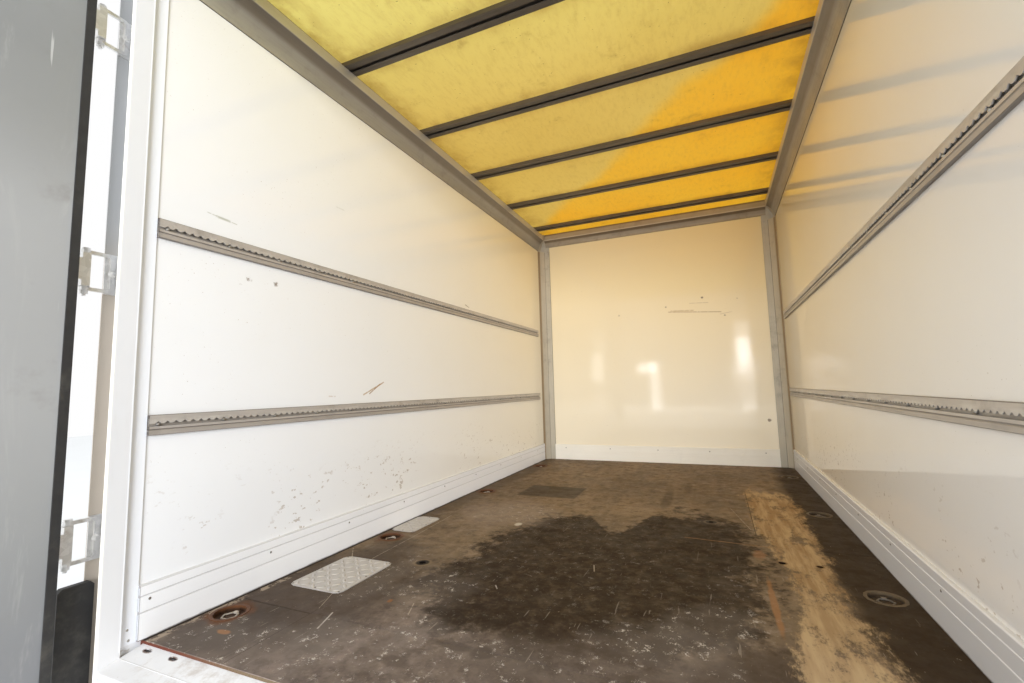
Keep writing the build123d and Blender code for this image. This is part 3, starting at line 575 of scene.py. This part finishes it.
#        start, end (across, forward, m), half width, colour
seams = [((0.328, 0.336), (0.250, 0.520), 0.0016, pale), ((0.191, 0.750), (0.183, 1.067), 0.0024, pale),
         ((0.183, 1.067), (0.163, 1.434), 0.0024, pale), ((0.020, 0.830), (0.095, 0.740), 0.0030, pale),
         ((0.390, 0.333), (0.424, 0.236), 0.0036, (0.58, 0.53, 0.48)),
         ((0.594, 0.474), (0.625, 0.398), 0.0026, pale),
         ((0.783, 0.690), (0.803, 0.660), 0.0034, (0.60, 0.56, 0.52)),
         ((1.060, 0.985), (1.078, 0.915), 0.0030, pale),
         ((1.359, 1.440), (1.695, 1.412), 0.0042, orange), ((1.560, 2.040), (1.640, 1.640), 0.0020, pale),
         ((0.035, 0.300), (0.330, 0.300), 0.0030, dark), ((0.330, 0.020), (0.330, 0.330), 0.0014, dark),
         ((1.655, 1.560), (1.655, 2.420), 0.0030, dark), ((0.000, 1.220), (1.220, 1.220), 0.0012, dark)]
worn = f.step(mottle, 0.34, 0.50)
for a, b, wide, tone in seams:
    line = f.both(streak(f, a, b, wide), worn)
    f.paint(line, 0.75, tone)
crumbs = f.both(f.step(f.x, 0.042, 0.030), f.step(f.x, 0.008, 0.014), f.step(f.y, 0.60, 0.45),
                f.step(mottle, 0.47, 0.53))
f.colour = f.mix(f.step(f.x, 0.014, 0.007), f.colour, (0.028, 0.019, 0.013))
f.paint(crumbs, 0.80, (0.44, 0.36, 0.28))
edge = f.step(f.z, -0.0012, -0.0030)
plies = f.step(f.math("SINE", f.times(f.z, 2400.0)), -0.2, 0.2)
red_corner = f.step(f.x, 0.45, 0.10)
dark_ply = f.mix(red_corner, (0.075, 0.050, 0.030), (0.085, 0.018, 0.012))
pale_ply = f.mix(red_corner, (0.200, 0.150, 0.095), (0.150, 0.055, 0.035))
f.colour = f.mix(edge, f.colour, f.mix(plies, dark_ply, pale_ply))
below_top = f.step(f.z, -0.0004, -0.0012)
# painted shade: the bores of the holes are painted near black
for hole in (left_hole, mid_hole, *track_holes):
    bore_shade = f.both(f.spot(hole, (0.018, 0.018), 0.0, 9.0, 0.1), below_top)
    f.colour = f.mix(bore_shade, f.colour, (0.012, 0.009, 0.007))
dull = f.blend(f.step(scrub, 0.35, 0.7), 0.50, 0.70)
f.set(Base_Color=f.colour, Roughness=f.blend(track, dull, 0.75))
f.bump(f.plus(f.times(grain, 0.5), f.times(fine, 0.5)), 0.30, 0.0012)
f.bump(f.noise(4.2, 1.0, 0.5, seed=30), 0.30, 0.006)
f.on("floor_boards")
print("floor film with", len(f.tree.nodes), "nodes")

# %% [markdown]
# The roof is a thin translucent sheet of glass fibre and resin. Daylight comes through it, so its colour
# is a transmitted one: the shader mixes a Principled surface with a Translucent one. Sunlight on the front
# right part, past a slanting line, is painted into the colour: there the sheet is a stronger yellow. The
# shaded part is painted lighter towards the doorway.

# %% Roof sheet
s = Finish("roof_sheet", Roughness=0.35)
shadow_line = s.plus(s.y, s.times(s.x, 1.185))
shadow_line = s.plus(shadow_line, s.sway(s.noise(1.6, 3.0), 0.5))
# painted light: past the slanting edge of a shadow the sheet takes a stronger, sunlit yellow
painted_sunlit = s.step(shadow_line, 3.30, 3.52)
fibre = s.noise(55.0, 3.0, 0.7, (1, 0.3, 1))
clouds = s.noise(1.4, 3.0, 0.55, seed=2)
painted_shade = s.mix(clouds, (0.86, 0.69, 0.27), (0.95, 0.80, 0.38))
# painted light: the shaded part of the sheet is lighter towards the doorway
painted_shade = s.mix(s.step(s.y, 1.6, 0.0), painted_shade, (1.0, 0.95, 0.50))
painted_sun = s.mix(clouds, (1.0, 0.66, 0.08), (1.0, 0.78, 0.20))
glow = s.mix(painted_sunlit, painted_shade, painted_sun)
glow = s.cover(glow, s.step(fibre, 0.42, 0.75), 0.22, (0.62, 0.47, 0.18))
blotch = s.blots(0.56, 0.8, 9.0, 4.0, 0.7, seed=8)
glow = s.cover(glow, blotch, 0.32, (0.42, 0.29, 0.09))
from_bow = s.math("PINGPONG", s.minus(s.y, first_bow), bow_pitch / 2)
from_rail = s.inboard()
settled = s.both(s.either(s.step(from_bow, 0.130, 0.040), s.step(from_rail, 0.200, 0.050)),
                 s.blots(0.30, 0.70, 7.0, 4.0, 0.7, (1, 1, 1), 12.0))
glow = s.cover(glow, settled, 0.38, (0.46, 0.28, 0.07))
specks = s.blots(0.735, 0.765, 85.0, 2.0, 0.5, seed=19)
glow = s.cover(glow, specks, 0.6, (0.14, 0.09, 0.04))
s.set(Base_Color=s.mix(0.5, glow, (0.80, 0.70, 0.45)))
s.bump(fibre, 0.15, 0.0008)
through = s.add("BsdfTranslucent", {"Color": glow})
s.put(through.node.inputs["Normal"], s.shader.inputs["Normal"].links[0].from_socket)
joined = s.add("MixShader", {0: 0.78, 1: s.shader.outputs[0], 2: through})
s.put(s.tree.nodes["Material Output"].inputs["Surface"], joined)
s.on("roof_skin")

# %% [markdown]
# Three sorts of metal line the box. The kick rails are painted nearly white, the top rails and corner
# posts are grey anodised profiles, and the lashing rails are the same metal gone dull with dirt in every
# slot. Drawn profiles carry faint lines along their length, so each noise is stretched that way.


# %% Drawn metal, and the kick rails
def drawn_metal(name, light, dark, along, rough=(0.28, 0.5), metal=0.6, grime=0.3, drawn=0.18):
    m = Finish(name, Metallic=metal)
    thin = tuple(0.06 if axis == along else 1.0 for axis in "xyz")
    lines = m.noise(120.0, 3.0, 0.6, thin, 1.0)
    cloud = m.noise(3.0, 3.0, 0.6, seed=2)
    m.colour = m.mix(cloud, dark, light)
    m.paint(m.step(lines, 0.4, 0.7), drawn, tuple(0.7 * v for v in dark))
    patches = m.blots(0.35, 0.6, 2.0, 2.0, seed=5)
    dirt = m.both(m.blots(0.48, 0.74, 14.0, 4.0, 0.7, seed=3), patches)
    m.paint(dirt, grime, (0.12, 0.10, 0.08))
    m.set(Base_Color=m.colour, Roughness=m.blend(m.step(lines, 0.3, 0.8), *rough))
    if drawn > 0.1:
        m.bump(lines, drawn * 0.6, 0.0004)
    return m


k = drawn_metal("kick_rail_paint", (0.96, 0.97, 1.0), (0.90, 0.91, 0.94), "y", (0.28, 0.31),
                metal=0.0, grime=0.03, drawn=0.02)
# painted shade: the right-hand kick rail, which stands in shade, is darker
k.colour = k.mix(k.right_half(), k.colour, (0.70, 0.69, 0.70))
# painted light: the lines along the grooves are painted shade on the left rail and painted highlights on the
# right rail
lines = k.either(*[k.blob((half_width, 1.7, height), (endless, endless, 0.0022), 0.1, 30.0, 0.3)
                   for height in (0.075, 0.120, 0.148)])
groove_shade_and_highlight = k.mix(k.right_half(), (0.34, 0.33, 0.34), (0.97, 0.97, 1.0))
k.paint(lines, 0.45, groove_shade_and_highlight)
foot = k.step(k.z, k.blend(k.noise(20.0, 4.0, 0.75, (1, 0.5, 1), 11.0), -0.004, 0.016), 0.001)
k.paint(foot, 0.85, (0.060, 0.045, 0.034))
# painted shade: the rails' rear end faces are darkened
rear_end_shade = k.step(k.y, 0.0015, 0.0005)
k.set(Base_Color=k.cover(k.colour, rear_end_shade, 0.8, (0.20, 0.19, 0.19)))
k.on(*pair("kick_rail"))
drawn_metal("front_kick_paint", (0.88, 0.84, 0.75), (0.80, 0.76, 0.67), "x", (0.28, 0.34),
            metal=0.0, grime=0.1, drawn=0.05).on("kick_rail_front")

# %% [markdown]
# A top rail is a cove that ends in a lip, and a corner post a folded strip. Their painted shade and
# highlights, their dirt and their wear follow the distance from the kick rails' faces towards the middle.
# That one measure makes all their masks, so nothing has to be unwrapped.


# %% Top rails, corner posts and bows
def cove_tones(m, inboard, reach, foot, dark, light, lit=(2.5, 2.4)):
    # painted shade under the lip, a painted highlight along the lip, and a painted shadow line at the wall
    inner = m.step(inboard, reach - 0.0008, reach - 0.004)
    under_lip_shade = m.both(m.step(inboard, 0.15 * reach, 0.45 * reach), inner)
    m.paint(under_lip_shade, 0.70, dark)
    lip_highlight = m.both(m.step(inboard, reach - 0.0010, reach - 0.0003), m.step(m.z, *lit))
    m.paint(lip_highlight, 0.75, light)
    # painted shadow: a dark line where the cove meets the wall
    line = m.step(m.z, foot + 0.0030, foot + 0.0012)
    m.paint(line, 0.8, (0.05, 0.04, 0.03))
    m.set(Base_Color=m.colour)


c = drawn_metal("top_rail_metal", (0.44, 0.42, 0.39), (0.34, 0.32, 0.29), "y", (0.32, 0.48),
                metal=0.25, grime=0.25)
inboard = c.inboard()
cove_tones(c, inboard, 0.048, cove_foot, (0.165, 0.130, 0.095), (0.62, 0.58, 0.52))
c.on(*pair("top_rail"))
c = drawn_metal("front_top_rail_metal", (0.46, 0.40, 0.32), (0.32, 0.27, 0.20), "x",
                (0.30, 0.46), metal=0.25)
inboard = c.minus(clear_length / 1000, c.y)
cove_tones(c, inboard, 0.028, front_foot, (0.13, 0.090, 0.050), (0.58, 0.52, 0.42), (2.150, 2.145))
c.on("top_rail_front")
c = drawn_metal("corner_post_metal", (0.58, 0.535, 0.44), (0.45, 0.41, 0.33), "z",
                (0.30, 0.42), metal=0.2)
inboard = c.inboard()
low_part = c.step(c.z, 2.034, 2.030)
fold_line, strip_edge = 0.037, 0.0838
fold = c.step(c.apart(inboard, fold_line), 0.0022, 0.0008)
joints = c.both(c.either(c.step(inboard, strip_edge, strip_edge + 0.0008), fold), low_part)
c.paint(joints, 0.75, (0.10, 0.075, 0.050))
# painted shade: the side leg in the corner by the wall is darker
side_leg_shade = c.both(c.step(inboard, 0.004, -0.004), c.step(inboard, -0.013, -0.009), low_part)
c.set(Base_Color=c.mix(side_leg_shade, c.colour, (0.30, 0.22, 0.13)))
c.on(*pair("front_post", "corner_casting"))
drawn_metal("roof_bow_metal", (0.17, 0.145, 0.12), (0.11, 0.095, 0.08), "x", (0.35, 0.55),
            metal=0.5, grime=0.5).on("roof_bows")
drawn_metal("bottom_rail_metal", (0.66, 0.66, 0.65), (0.52, 0.52, 0.51), "y", (0.3, 0.5),
            metal=0.4, grime=0.5).on("front_rail", *pair("side_rail"))

# %% [markdown]
# The lashing rails are the hardest-worn profile: hooks have rubbed the scalloped lip bright, and the slot
# is darker. The rail sits 12 mm proud of the wall, so the depth across the rail tells face from slot, and a
# mask on that depth darkens what lies below the face. A dark line under the lip is a painted shadow, and
# the rails' end faces carry painted shade.

# %% Lashing rails
r = drawn_metal("lashing_rail_metal", (0.60, 0.56, 0.53), (0.47, 0.44, 0.41), "y", (0.32, 0.5),
                metal=0.3, grime=0.3, drawn=0.1)
from_side = r.apart(r.x, half_width)
deep = r.step(from_side, half_width + 0.0006, half_width + 0.0030)
r.paint(deep, 0.75, (0.33, 0.305, 0.275))
# painted shade: the rails' end faces are darkened
end_shade = r.either(r.step(r.y, 0.0025, 0.0010), r.step(r.y, 3.343, 3.344))
r.paint(end_shade, 0.8, (0.06, 0.05, 0.045))
rail_heights, groove_at, rim_at = (0.600, 1.200), -0.0125, 0.030
for height in rail_heights:
    above = r.minus(r.z, height)
    # painted shadow: a dark line under the scalloped lip
    groove_shadow = r.step(r.apart(above, groove_at), 0.0020, 0.0008)
    rims = r.step(r.apart(r.math("ABSOLUTE", above), rim_at), 0.0022, 0.0010)
    r.paint(r.either(groove_shadow, rims), 0.7, (0.10, 0.085, 0.075))
    lower = r.both(r.step(above, groove_at, groove_at - 0.0020), r.step(above, -0.032, -0.030))
    r.paint(lower, 0.35, (0.34, 0.30, 0.27))
lips = [r.blob((half_width, 1.7, height + 0.007), (endless, endless, 0.011), 0.25, 30.0, 0.3)
        for height in rail_heights]
rubbed = r.both(r.either(*lips), r.blots(0.42, 0.62, 30.0, 5.0, 0.7, (1, 0.4, 1), 8.0),
                r.step(deep, 0.5, 0.1))
r.set(Base_Color=r.cover(r.colour, rubbed, 0.55, (0.66, 0.64, 0.60)))
r.on(*pair("lashing_rail_lower", "lashing_rail_upper"))

# %% [markdown]
# The rear frame is white paint over steel. The rounded edges of its inner legs carry a painted cream
# highlight, the return next to the walls is a cooler grey, and the hinge side of the posts is painted
# shade with a painted reflection of the ground, grey above and tan below. All of these follow places on
# the post, so they are masks on the distance across and aft.

# %% Rear frame
p = Finish("rear_frame_paint", Roughness=0.30)
out = p.minus(p.apart(p.x, half_width), half_width)
aft = p.times(p.y, -1.0)
p.colour = p.mix(p.noise(2.5, 5.0, 0.6), (0.74, 0.745, 0.765), (0.81, 0.815, 0.835))
inward = p.both(p.step(aft, 0.0475, 0.0440), p.step(p.z, 2.09, 2.08), p.step(p.z, -0.008, -0.004))
p.colour = p.mix(inward, p.colour, (0.92, 0.945, 1.0))
# painted highlight: a cream line along the rounded rear edges of the inner legs
edge = p.both(p.step(aft, 0.0915, 0.0955), p.step(out, 0.0245, 0.0215), p.step(p.z, -0.02, -0.01))
p.paint(edge, 0.7, (0.80, 0.755, 0.63))
# painted shade and painted reflection: the hinge side is grey above and tan below, where it reflects the
# ground
hinge_side_shade_and_reflection = p.step(out, 0.030, 0.050)
painted_ground_reflection = p.step(p.plus(p.z, p.times(p.noise(1.5, 4.0), 1.2)), 1.9, 1.3)
p.paint(hinge_side_shade_and_reflection, 0.85, p.mix(painted_ground_reflection, (0.36, 0.36, 0.35), (0.50, 0.42, 0.32)))
runs = p.both(p.blots(0.60, 0.78, 16.0, 4.0, 0.7, (1, 1, 0.12), 5.0), p.step(p.z, 1.6, 0.0))
p.paint(runs, 0.25, (0.42, 0.36, 0.28))
chips = p.both(p.blots(0.66, 0.72, 42.0, 5.0, 0.7, seed=9),
               p.either(edge, p.both(p.step(p.z, -0.006, -0.009), p.step(p.z, -0.2, -0.1))))
p.paint(chips, 0.7, (0.20, 0.13, 0.09))
sill_dirt = p.both(p.step(p.z, -0.006, -0.009), p.blots(0.47, 0.66, 9.0, 5.0, 0.75, seed=14))
p.paint(sill_dirt, 0.45, (0.36, 0.28, 0.21))
slot_ends = ((0.049, -0.002), (0.159, -0.001), (1.896, -0.001), (2.006, -0.002))
for x, y in slot_ends:
    stain = p.blob((x, y, -0.012), (0.017, 0.0075, 0.012), 0.35, 70.0, 0.25)
    p.paint(stain, 0.95, (0.085, 0.038, 0.020))
p.set(Base_Color=p.colour, Roughness=p.blend(p.noise(20.0, 4.0), 0.22, 0.45))
p.bump(p.noise(75.0, 1.0), 0.10, 0.0006)
p.on("rear_header", "rear_sill", *pair("rear_post"))

# %% [markdown]
# Each door is a plywood board with a grey resin face. Inside it is scuffed in long vertical rubs and has
# a line of black rubber round its edge, which is dusty in patches.


# %% Doors and seals
b = Finish("door_face", Roughness=0.38)
b.colour = b.mix(b.noise(1.6, 5.0, 0.6), (0.22, 0.225, 0.225), (0.33, 0.335, 0.33))
middle = b.both(b.step(b.z, 0.15, 0.75), b.step(b.z, 1.65, 1.15))
b.paint(middle, 0.45, (0.46, 0.455, 0.45))
b.paint(b.step(b.z, 0.45, -0.05), 0.75, (0.17, 0.172, 0.185))
b.paint(b.step(b.z, 1.10, 1.45), 0.35, (0.17, 0.165, 0.145))
rubs = b.blots(0.53, 0.74, 7.0, 5.0, 0.75, (1, 1, 0.22), 3.0, 1.0)
b.paint(rubs, 0.5, (0.44, 0.435, 0.42))
bruise = b.blots(0.57, 0.75, 4.0, 5.0, 0.7, seed=6)
b.paint(bruise, 0.45, (0.20, 0.19, 0.17))
scratch = b.blots(0.70, 0.73, 60.0, 2.0, 0.5, (1, 1.0, 0.05), 8.0)
b.paint(scratch, 0.4, (0.75, 0.74, 0.71))
b.set(Base_Color=b.colour, Roughness=b.blend(rubs, 0.30, 0.52))
b.bump(b.noise(70.0, 2.0), 0.12, 0.0008)
b.bump(b.noise(1.3, 2.0, 0.5, seed=9), 0.3, 0.010)
b.on(*pair("door"))

rubber = Finish("black_rubber", Roughness=0.62)
tone = rubber.mix(rubber.noise(24.0, 5.0, 0.6), (0.012, 0.012, 0.013), (0.040, 0.038, 0.036))
dusty = rubber.blots(0.52, 0.75, 5.0, 6.0, 0.7, seed=3)
rubber.set(Base_Color=rubber.cover(tone, dusty, 0.5, (0.13, 0.12, 0.10)))
rubber.bump(rubber.noise(150.0, 3.0), 0.15, 0.0006)
rubber.on("corner_guards", *pair("door_seal"))

# %% [markdown]
# Hinges, bearers and cross-members are hot-dip galvanised: a pale grey with the patchy grain of zinc
# crystals. A Voronoi texture gives the grain its cells, each a slightly different grey.


# %% Galvanised steel
def galvanised(name, light, dark, rust):
    g = Finish(name, Metallic=0.75)
    grain = g.add("TexVoronoi", {"Vector": g.place, "Scale": 70.0}, "Color")
    cell = g.add("SeparateColor", {0: grain}, 0)
    g.colour = g.mix(cell, dark, light)
    spots = g.blots(0.56, 0.72, 16.0, 7.0, 0.7, seed=2)
    g.paint(spots, rust, (0.20, 0.095, 0.040))
    g.set(Base_Color=g.colour, Roughness=g.blend(cell, 0.34, 0.50))
    g.bump(g.noise(90.0, 4.0), 0.15, 0.0005)
    return g


hinge_zinc = galvanised("hinge_zinc", (0.88, 0.87, 0.85), (0.72, 0.71, 0.69), 0.30)
hinge_zinc.on(*pair("hinge_bows", "hinge_leaves"))
lock_zinc = galvanised("lock_zinc", (0.56, 0.56, 0.55), (0.42, 0.42, 0.41), 0.35)
lock_zinc.on("lock_keepers", *pair("lock_rod", "lock_guides"))
frame_zinc = galvanised("underframe_zinc", (0.50, 0.51, 0.51), (0.36, 0.37, 0.38), 0.5)
frame_zinc.on("cross_members", *pair("bearer"))

# %% [markdown]
# The lashing pots are rusty on the left and caked with dust on the right. All eight are one mesh, so a mask
# on the place across tells left from right. The floor plates are dull steel.

# %% Pots and floor plates
q = Finish("rusty_pot", Metallic=0.2)
q.colour = q.mix(q.noise(40.0, 6.0, 0.7), (0.060, 0.028, 0.014), (0.190, 0.075, 0.030))
dusty = q.mix(q.noise(30.0, 6.0, 0.7, seed=4), (0.050, 0.035, 0.022), (0.230, 0.165, 0.095))
q.colour = q.mix(q.right_half(), q.colour, dusty)
sunk = q.step(q.z, -0.003, -0.009)
q.paint(sunk, 0.7, (0.035, 0.022, 0.014))
rings = q.either(*[q.spot(place, (0.0265, 0.0265), 0.0, 9.0, 0.06) for place in pots])
pale_ring = q.both(rings, q.step(q.z, -0.0125, -0.0110), q.blots(0.30, 0.42, 30.0, 5.0, 0.7, seed=3))
q.paint(pale_ring, q.blend(q.right_half(), 0.85, 0.25), (0.66, 0.60, 0.52))
q.set(Base_Color=q.colour, Roughness=0.62)
q.bump(q.noise(120.0, 5.0, 0.7), 0.5, 0.0015)
q.on("lashing_pots")

tread = Finish("tread_plate", Metallic=0.55)
tread.colour = tread.mix(tread.noise(14.0, 5.0, 0.6), (0.55, 0.52, 0.49), (0.65, 0.62, 0.59))
tread.paint(tread.blots(0.55, 0.72, 30.0, 6.0, 0.7, seed=4), 0.4, (0.33, 0.27, 0.20))
tread.set(Base_Color=tread.colour, Roughness=tread.blend(tread.noise(50.0, 3.0), 0.30, 0.50))
tread.bump(tread.noise(130.0, 4.0), 0.25, 0.0008)
tread.on("floor_plates")

# %% [markdown]
# Screws, rivets and tread studs are small round heads many times over, so Geometry Nodes set one on every
# point of a list. A tree has named inputs for the head's size and its finish, and ends in Realize
# Instances and Set Material so that the result is plain mesh. The first tree turns each head the way it
# is told to face.


# %% A tree that sets a head on every point
def start_tree(name, sizes):
    tree = bpy.data.node_groups.new(name, "GeometryNodeTree")
    for label, kind, value in [("Geometry", "Geometry", None), *sizes, ("Finish", "Material", None)]:
        made = tree.interface.new_socket(label, in_out="INPUT", socket_type="NodeSocket" + kind)
        if value is not None:
            made.default_value = value
    tree.interface.new_socket("Geometry", in_out="OUTPUT", socket_type="NodeSocketGeometry")
    return tree, tree.nodes.new("NodeGroupInput")


def set_heads(tree, given, size, turn):
    # a ball on every point, squeezed to its size and turned, and then made plain mesh with its finish
    n, link = tree.nodes, tree.links.new
    ball, place, real, finish = (n.new("GeometryNode" + kind) for kind in (
        "MeshUVSphere", "InstanceOnPoints", "RealizeInstances", "SetMaterial"))
    for name, value in (("Segments", 10), ("Rings", 6), ("Radius", 1.0)):
        ball.inputs[name].default_value = value
    link(given.outputs["Geometry"], place.inputs["Points"])
    link(ball.outputs["Mesh"], place.inputs["Instance"])
    link(turn, place.inputs["Rotation"])
    link(size, place.inputs["Scale"])
    link(place.outputs[0], real.inputs[0])
    link(real.outputs[0], finish.inputs["Geometry"])
    link(given.outputs["Finish"], finish.inputs["Material"])
    link(finish.outputs[0], n.new("NodeGroupOutput").inputs[0])


def heads_tree():
    tree, given = start_tree("fastener_heads", [("Radius", "Float", 0.005), ("Height", "Float", 0.003),
                                                ("Facing", "Vector", (0, 0, 1))])
    size = tree.nodes.new("ShaderNodeCombineXYZ")
    for axis, name in zip("XYZ", ("Radius", "Radius", "Height")):
        tree.links.new(given.outputs[name], size.inputs[axis])
    face = tree.nodes.new("FunctionNodeAlignRotationToVector")
    face.axis = "Z"
    tree.links.new(given.outputs["Facing"], face.inputs["Vector"])
    set_heads(tree, given, size.outputs[0], face.outputs["Rotation"])
    return tree


def grown(name, tree, points, values, body="body"):
    # the tree's result on these points, as a plain mesh that rides on a body
    seed = bpy.data.meshes.new(name + "_points")
    seed.from_pydata(points, [], [])
    source = bpy.data.objects.new(name + "_points", seed)
    scene.collection.objects.link(source)
    live = source.modifiers.new("tree", "NODES")
    live.node_group = tree
    for item in tree.interface.items_tree:
        if item.in_out == "INPUT" and item.name in values:
            live[item.identifier] = values[item.name]
    bpy.context.view_layer.update()
    seen = source.evaluated_get(bpy.context.evaluated_depsgraph_get())
    mesh = bpy.data.meshes.new_from_object(seen)
    bpy.data.objects.remove(source)
    mesh.name = name
    mesh.shade_smooth()
    piece = bpy.data.objects.new(name, mesh)
    scene.collection.objects.link(piece)
    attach(piece, body)
    print(name, len(points), "points,", sum(len(p.vertices) - 2 for p in mesh.polygons), "triangles")
    return piece


heads = heads_tree()


def heads_on(name, points, radius, height, facing, finish, body="body"):
    return grown(name, heads, points, {"Radius": radius / 1000, "Height": height / 1000, "Facing": facing,
                                       "Finish": finish.mat}, body)


# %% [markdown]
# The lashing rails are screwed through their slots every eighth scallop, 203 mm apart. The kick rails have
# small dark screws near their tops, and the front corner strips have one about every 555 mm.

# %% Screws of rails, kicks and strips
bright = galvanised("screw_zinc", (0.56, 0.54, 0.50), (0.42, 0.40, 0.37), 0.4)
dull = galvanised("dull_screw", (0.30, 0.27, 0.24), (0.18, 0.16, 0.14), 0.4)
sides, first_screw, screw_gap = {"left": (1, 0, 0), "right": (-1, 0, 0)}, 28.6, 203.2


def across_from(side, distance):
    return distance if side == "left" else clear_width - distance


for side, facing in sides.items():
    start = first_screw if side == "left" else first_screw + screw_gap / 2
    across = across_from(side, -7.0)
    places = [inside(across, start + screw_gap * i, up + 3.0) for up in (600, 1200) for i in range(16)]
    heads_on(f"lashing_screws_{side}", places, 6.5, 5.0, facing, bright)
    places = [inside(across_from(side, 0.0), 26 + 400 * i, 107) for i in range(9)]
    heads_on(f"kick_screws_{side}", places, 4.0, 1.6, facing, dull)
    across = across_from(side, 66.0)
    places = [inside(across, clear_length + 3, up) for up in (380, 936, 1491, 2020)]
    heads_on(f"strip_screws_{side}", places, 5.0, 2.4, (0, -1, 0), bright)
places = [inside(190 + 420 * i, clear_length, 108) for i in range(5)]
heads_on("front_kick_screws", places, 4.5, 1.8, (0, -1, 0), dull)
for side, facing in sides.items():
    places = [inside(across_from(side, -9.0), *place) for place in ((-23, 40), (-19, 11))]
    heads_on(f"return_rivets_{side}", places, 3.6, 1.6, facing, bright)

# %% [markdown]
# Two tread plates patch the floor. Their studs are long lenses in rows that turn one way and then the
# other. The tree turns each stud by where its point stands in the plate's grid.


# %% Tread studs on the floor plates
def studs_tree():
    tree, given = start_tree("tread_studs", [("Pitch", "Float", 0.026), ("Length", "Float", 0.010),
                                             ("Height", "Float", 0.0016)])
    n, link = tree.nodes, tree.links.new

    def sums(how, a, b):
        made = n.new("ShaderNodeMath")
        made.operation = how
        for place, value in enumerate((a, b)):
            if isinstance(value, bpy.types.NodeSocket):
                link(value, made.inputs[place])
            else:
                made.inputs[place].default_value = value
        return made.outputs[0]

    here = n.new("ShaderNodeSeparateXYZ")
    link(n.new("GeometryNodeInputPosition").outputs[0], here.inputs[0])
    pitch = given.outputs["Pitch"]
    count = sums("ADD", sums("ROUND", sums("DIVIDE", here.outputs[0], pitch), 0.0),
                 sums("ROUND", sums("DIVIDE", here.outputs[1], pitch), 0.0))
    odd = sums("PINGPONG", count, 1.0)
    angle = n.new("ShaderNodeCombineXYZ")
    link(sums("ADD", sums("MULTIPLY", odd, math.pi / 2), math.pi / 4), angle.inputs["Z"])
    turned = n.new("FunctionNodeEulerToRotation")
    link(angle.outputs[0], turned.inputs[0])
    size = n.new("ShaderNodeCombineXYZ")
    link(given.outputs["Length"], size.inputs["X"])
    link(sums("MULTIPLY", given.outputs["Length"], 0.36), size.inputs["Y"])
    link(given.outputs["Height"], size.inputs["Z"])
    set_heads(tree, given, size.outputs[0], turned.outputs[0])
    return tree


studs = studs_tree()
#            forward, across, length, width (mm)
floor_plates = [("large", 586.0, 195.0, 298.0, 236.0), ("small", 1226.0, 78.0, 256.0, 134.0)]
pitch, margins, screw_inset = 37.0, 36.0, 11.0
around = [(dx, dy) for dx in (-1, 0, 1) for dy in (-1, 0, 1) if dx or dy]
for name, forward, across, length, width in floor_plates:
    rows, columns = int((length - margins) // pitch), int((width - margins) // pitch)
    places = [inside(across + (i - columns / 2) * pitch, forward + (j - rows / 2) * pitch, 3.0)
              for i in range(columns + 1) for j in range(rows + 1)]
    grown(f"tread_studs_{name}", studs, places, {"Pitch": pitch / 1000, "Length": 0.0160, "Height": 0.0024,
                                               "Finish": tread.mat})
    out, ahead = width / 2 - screw_inset, length / 2 - screw_inset
    places = [inside(across + dx * out, forward + dy * ahead, 3.0) for dx, dy in around]
    heads_on(f"plate_screws_{name}", places, 4.2, 1.2, (0, 0, 1), dull)
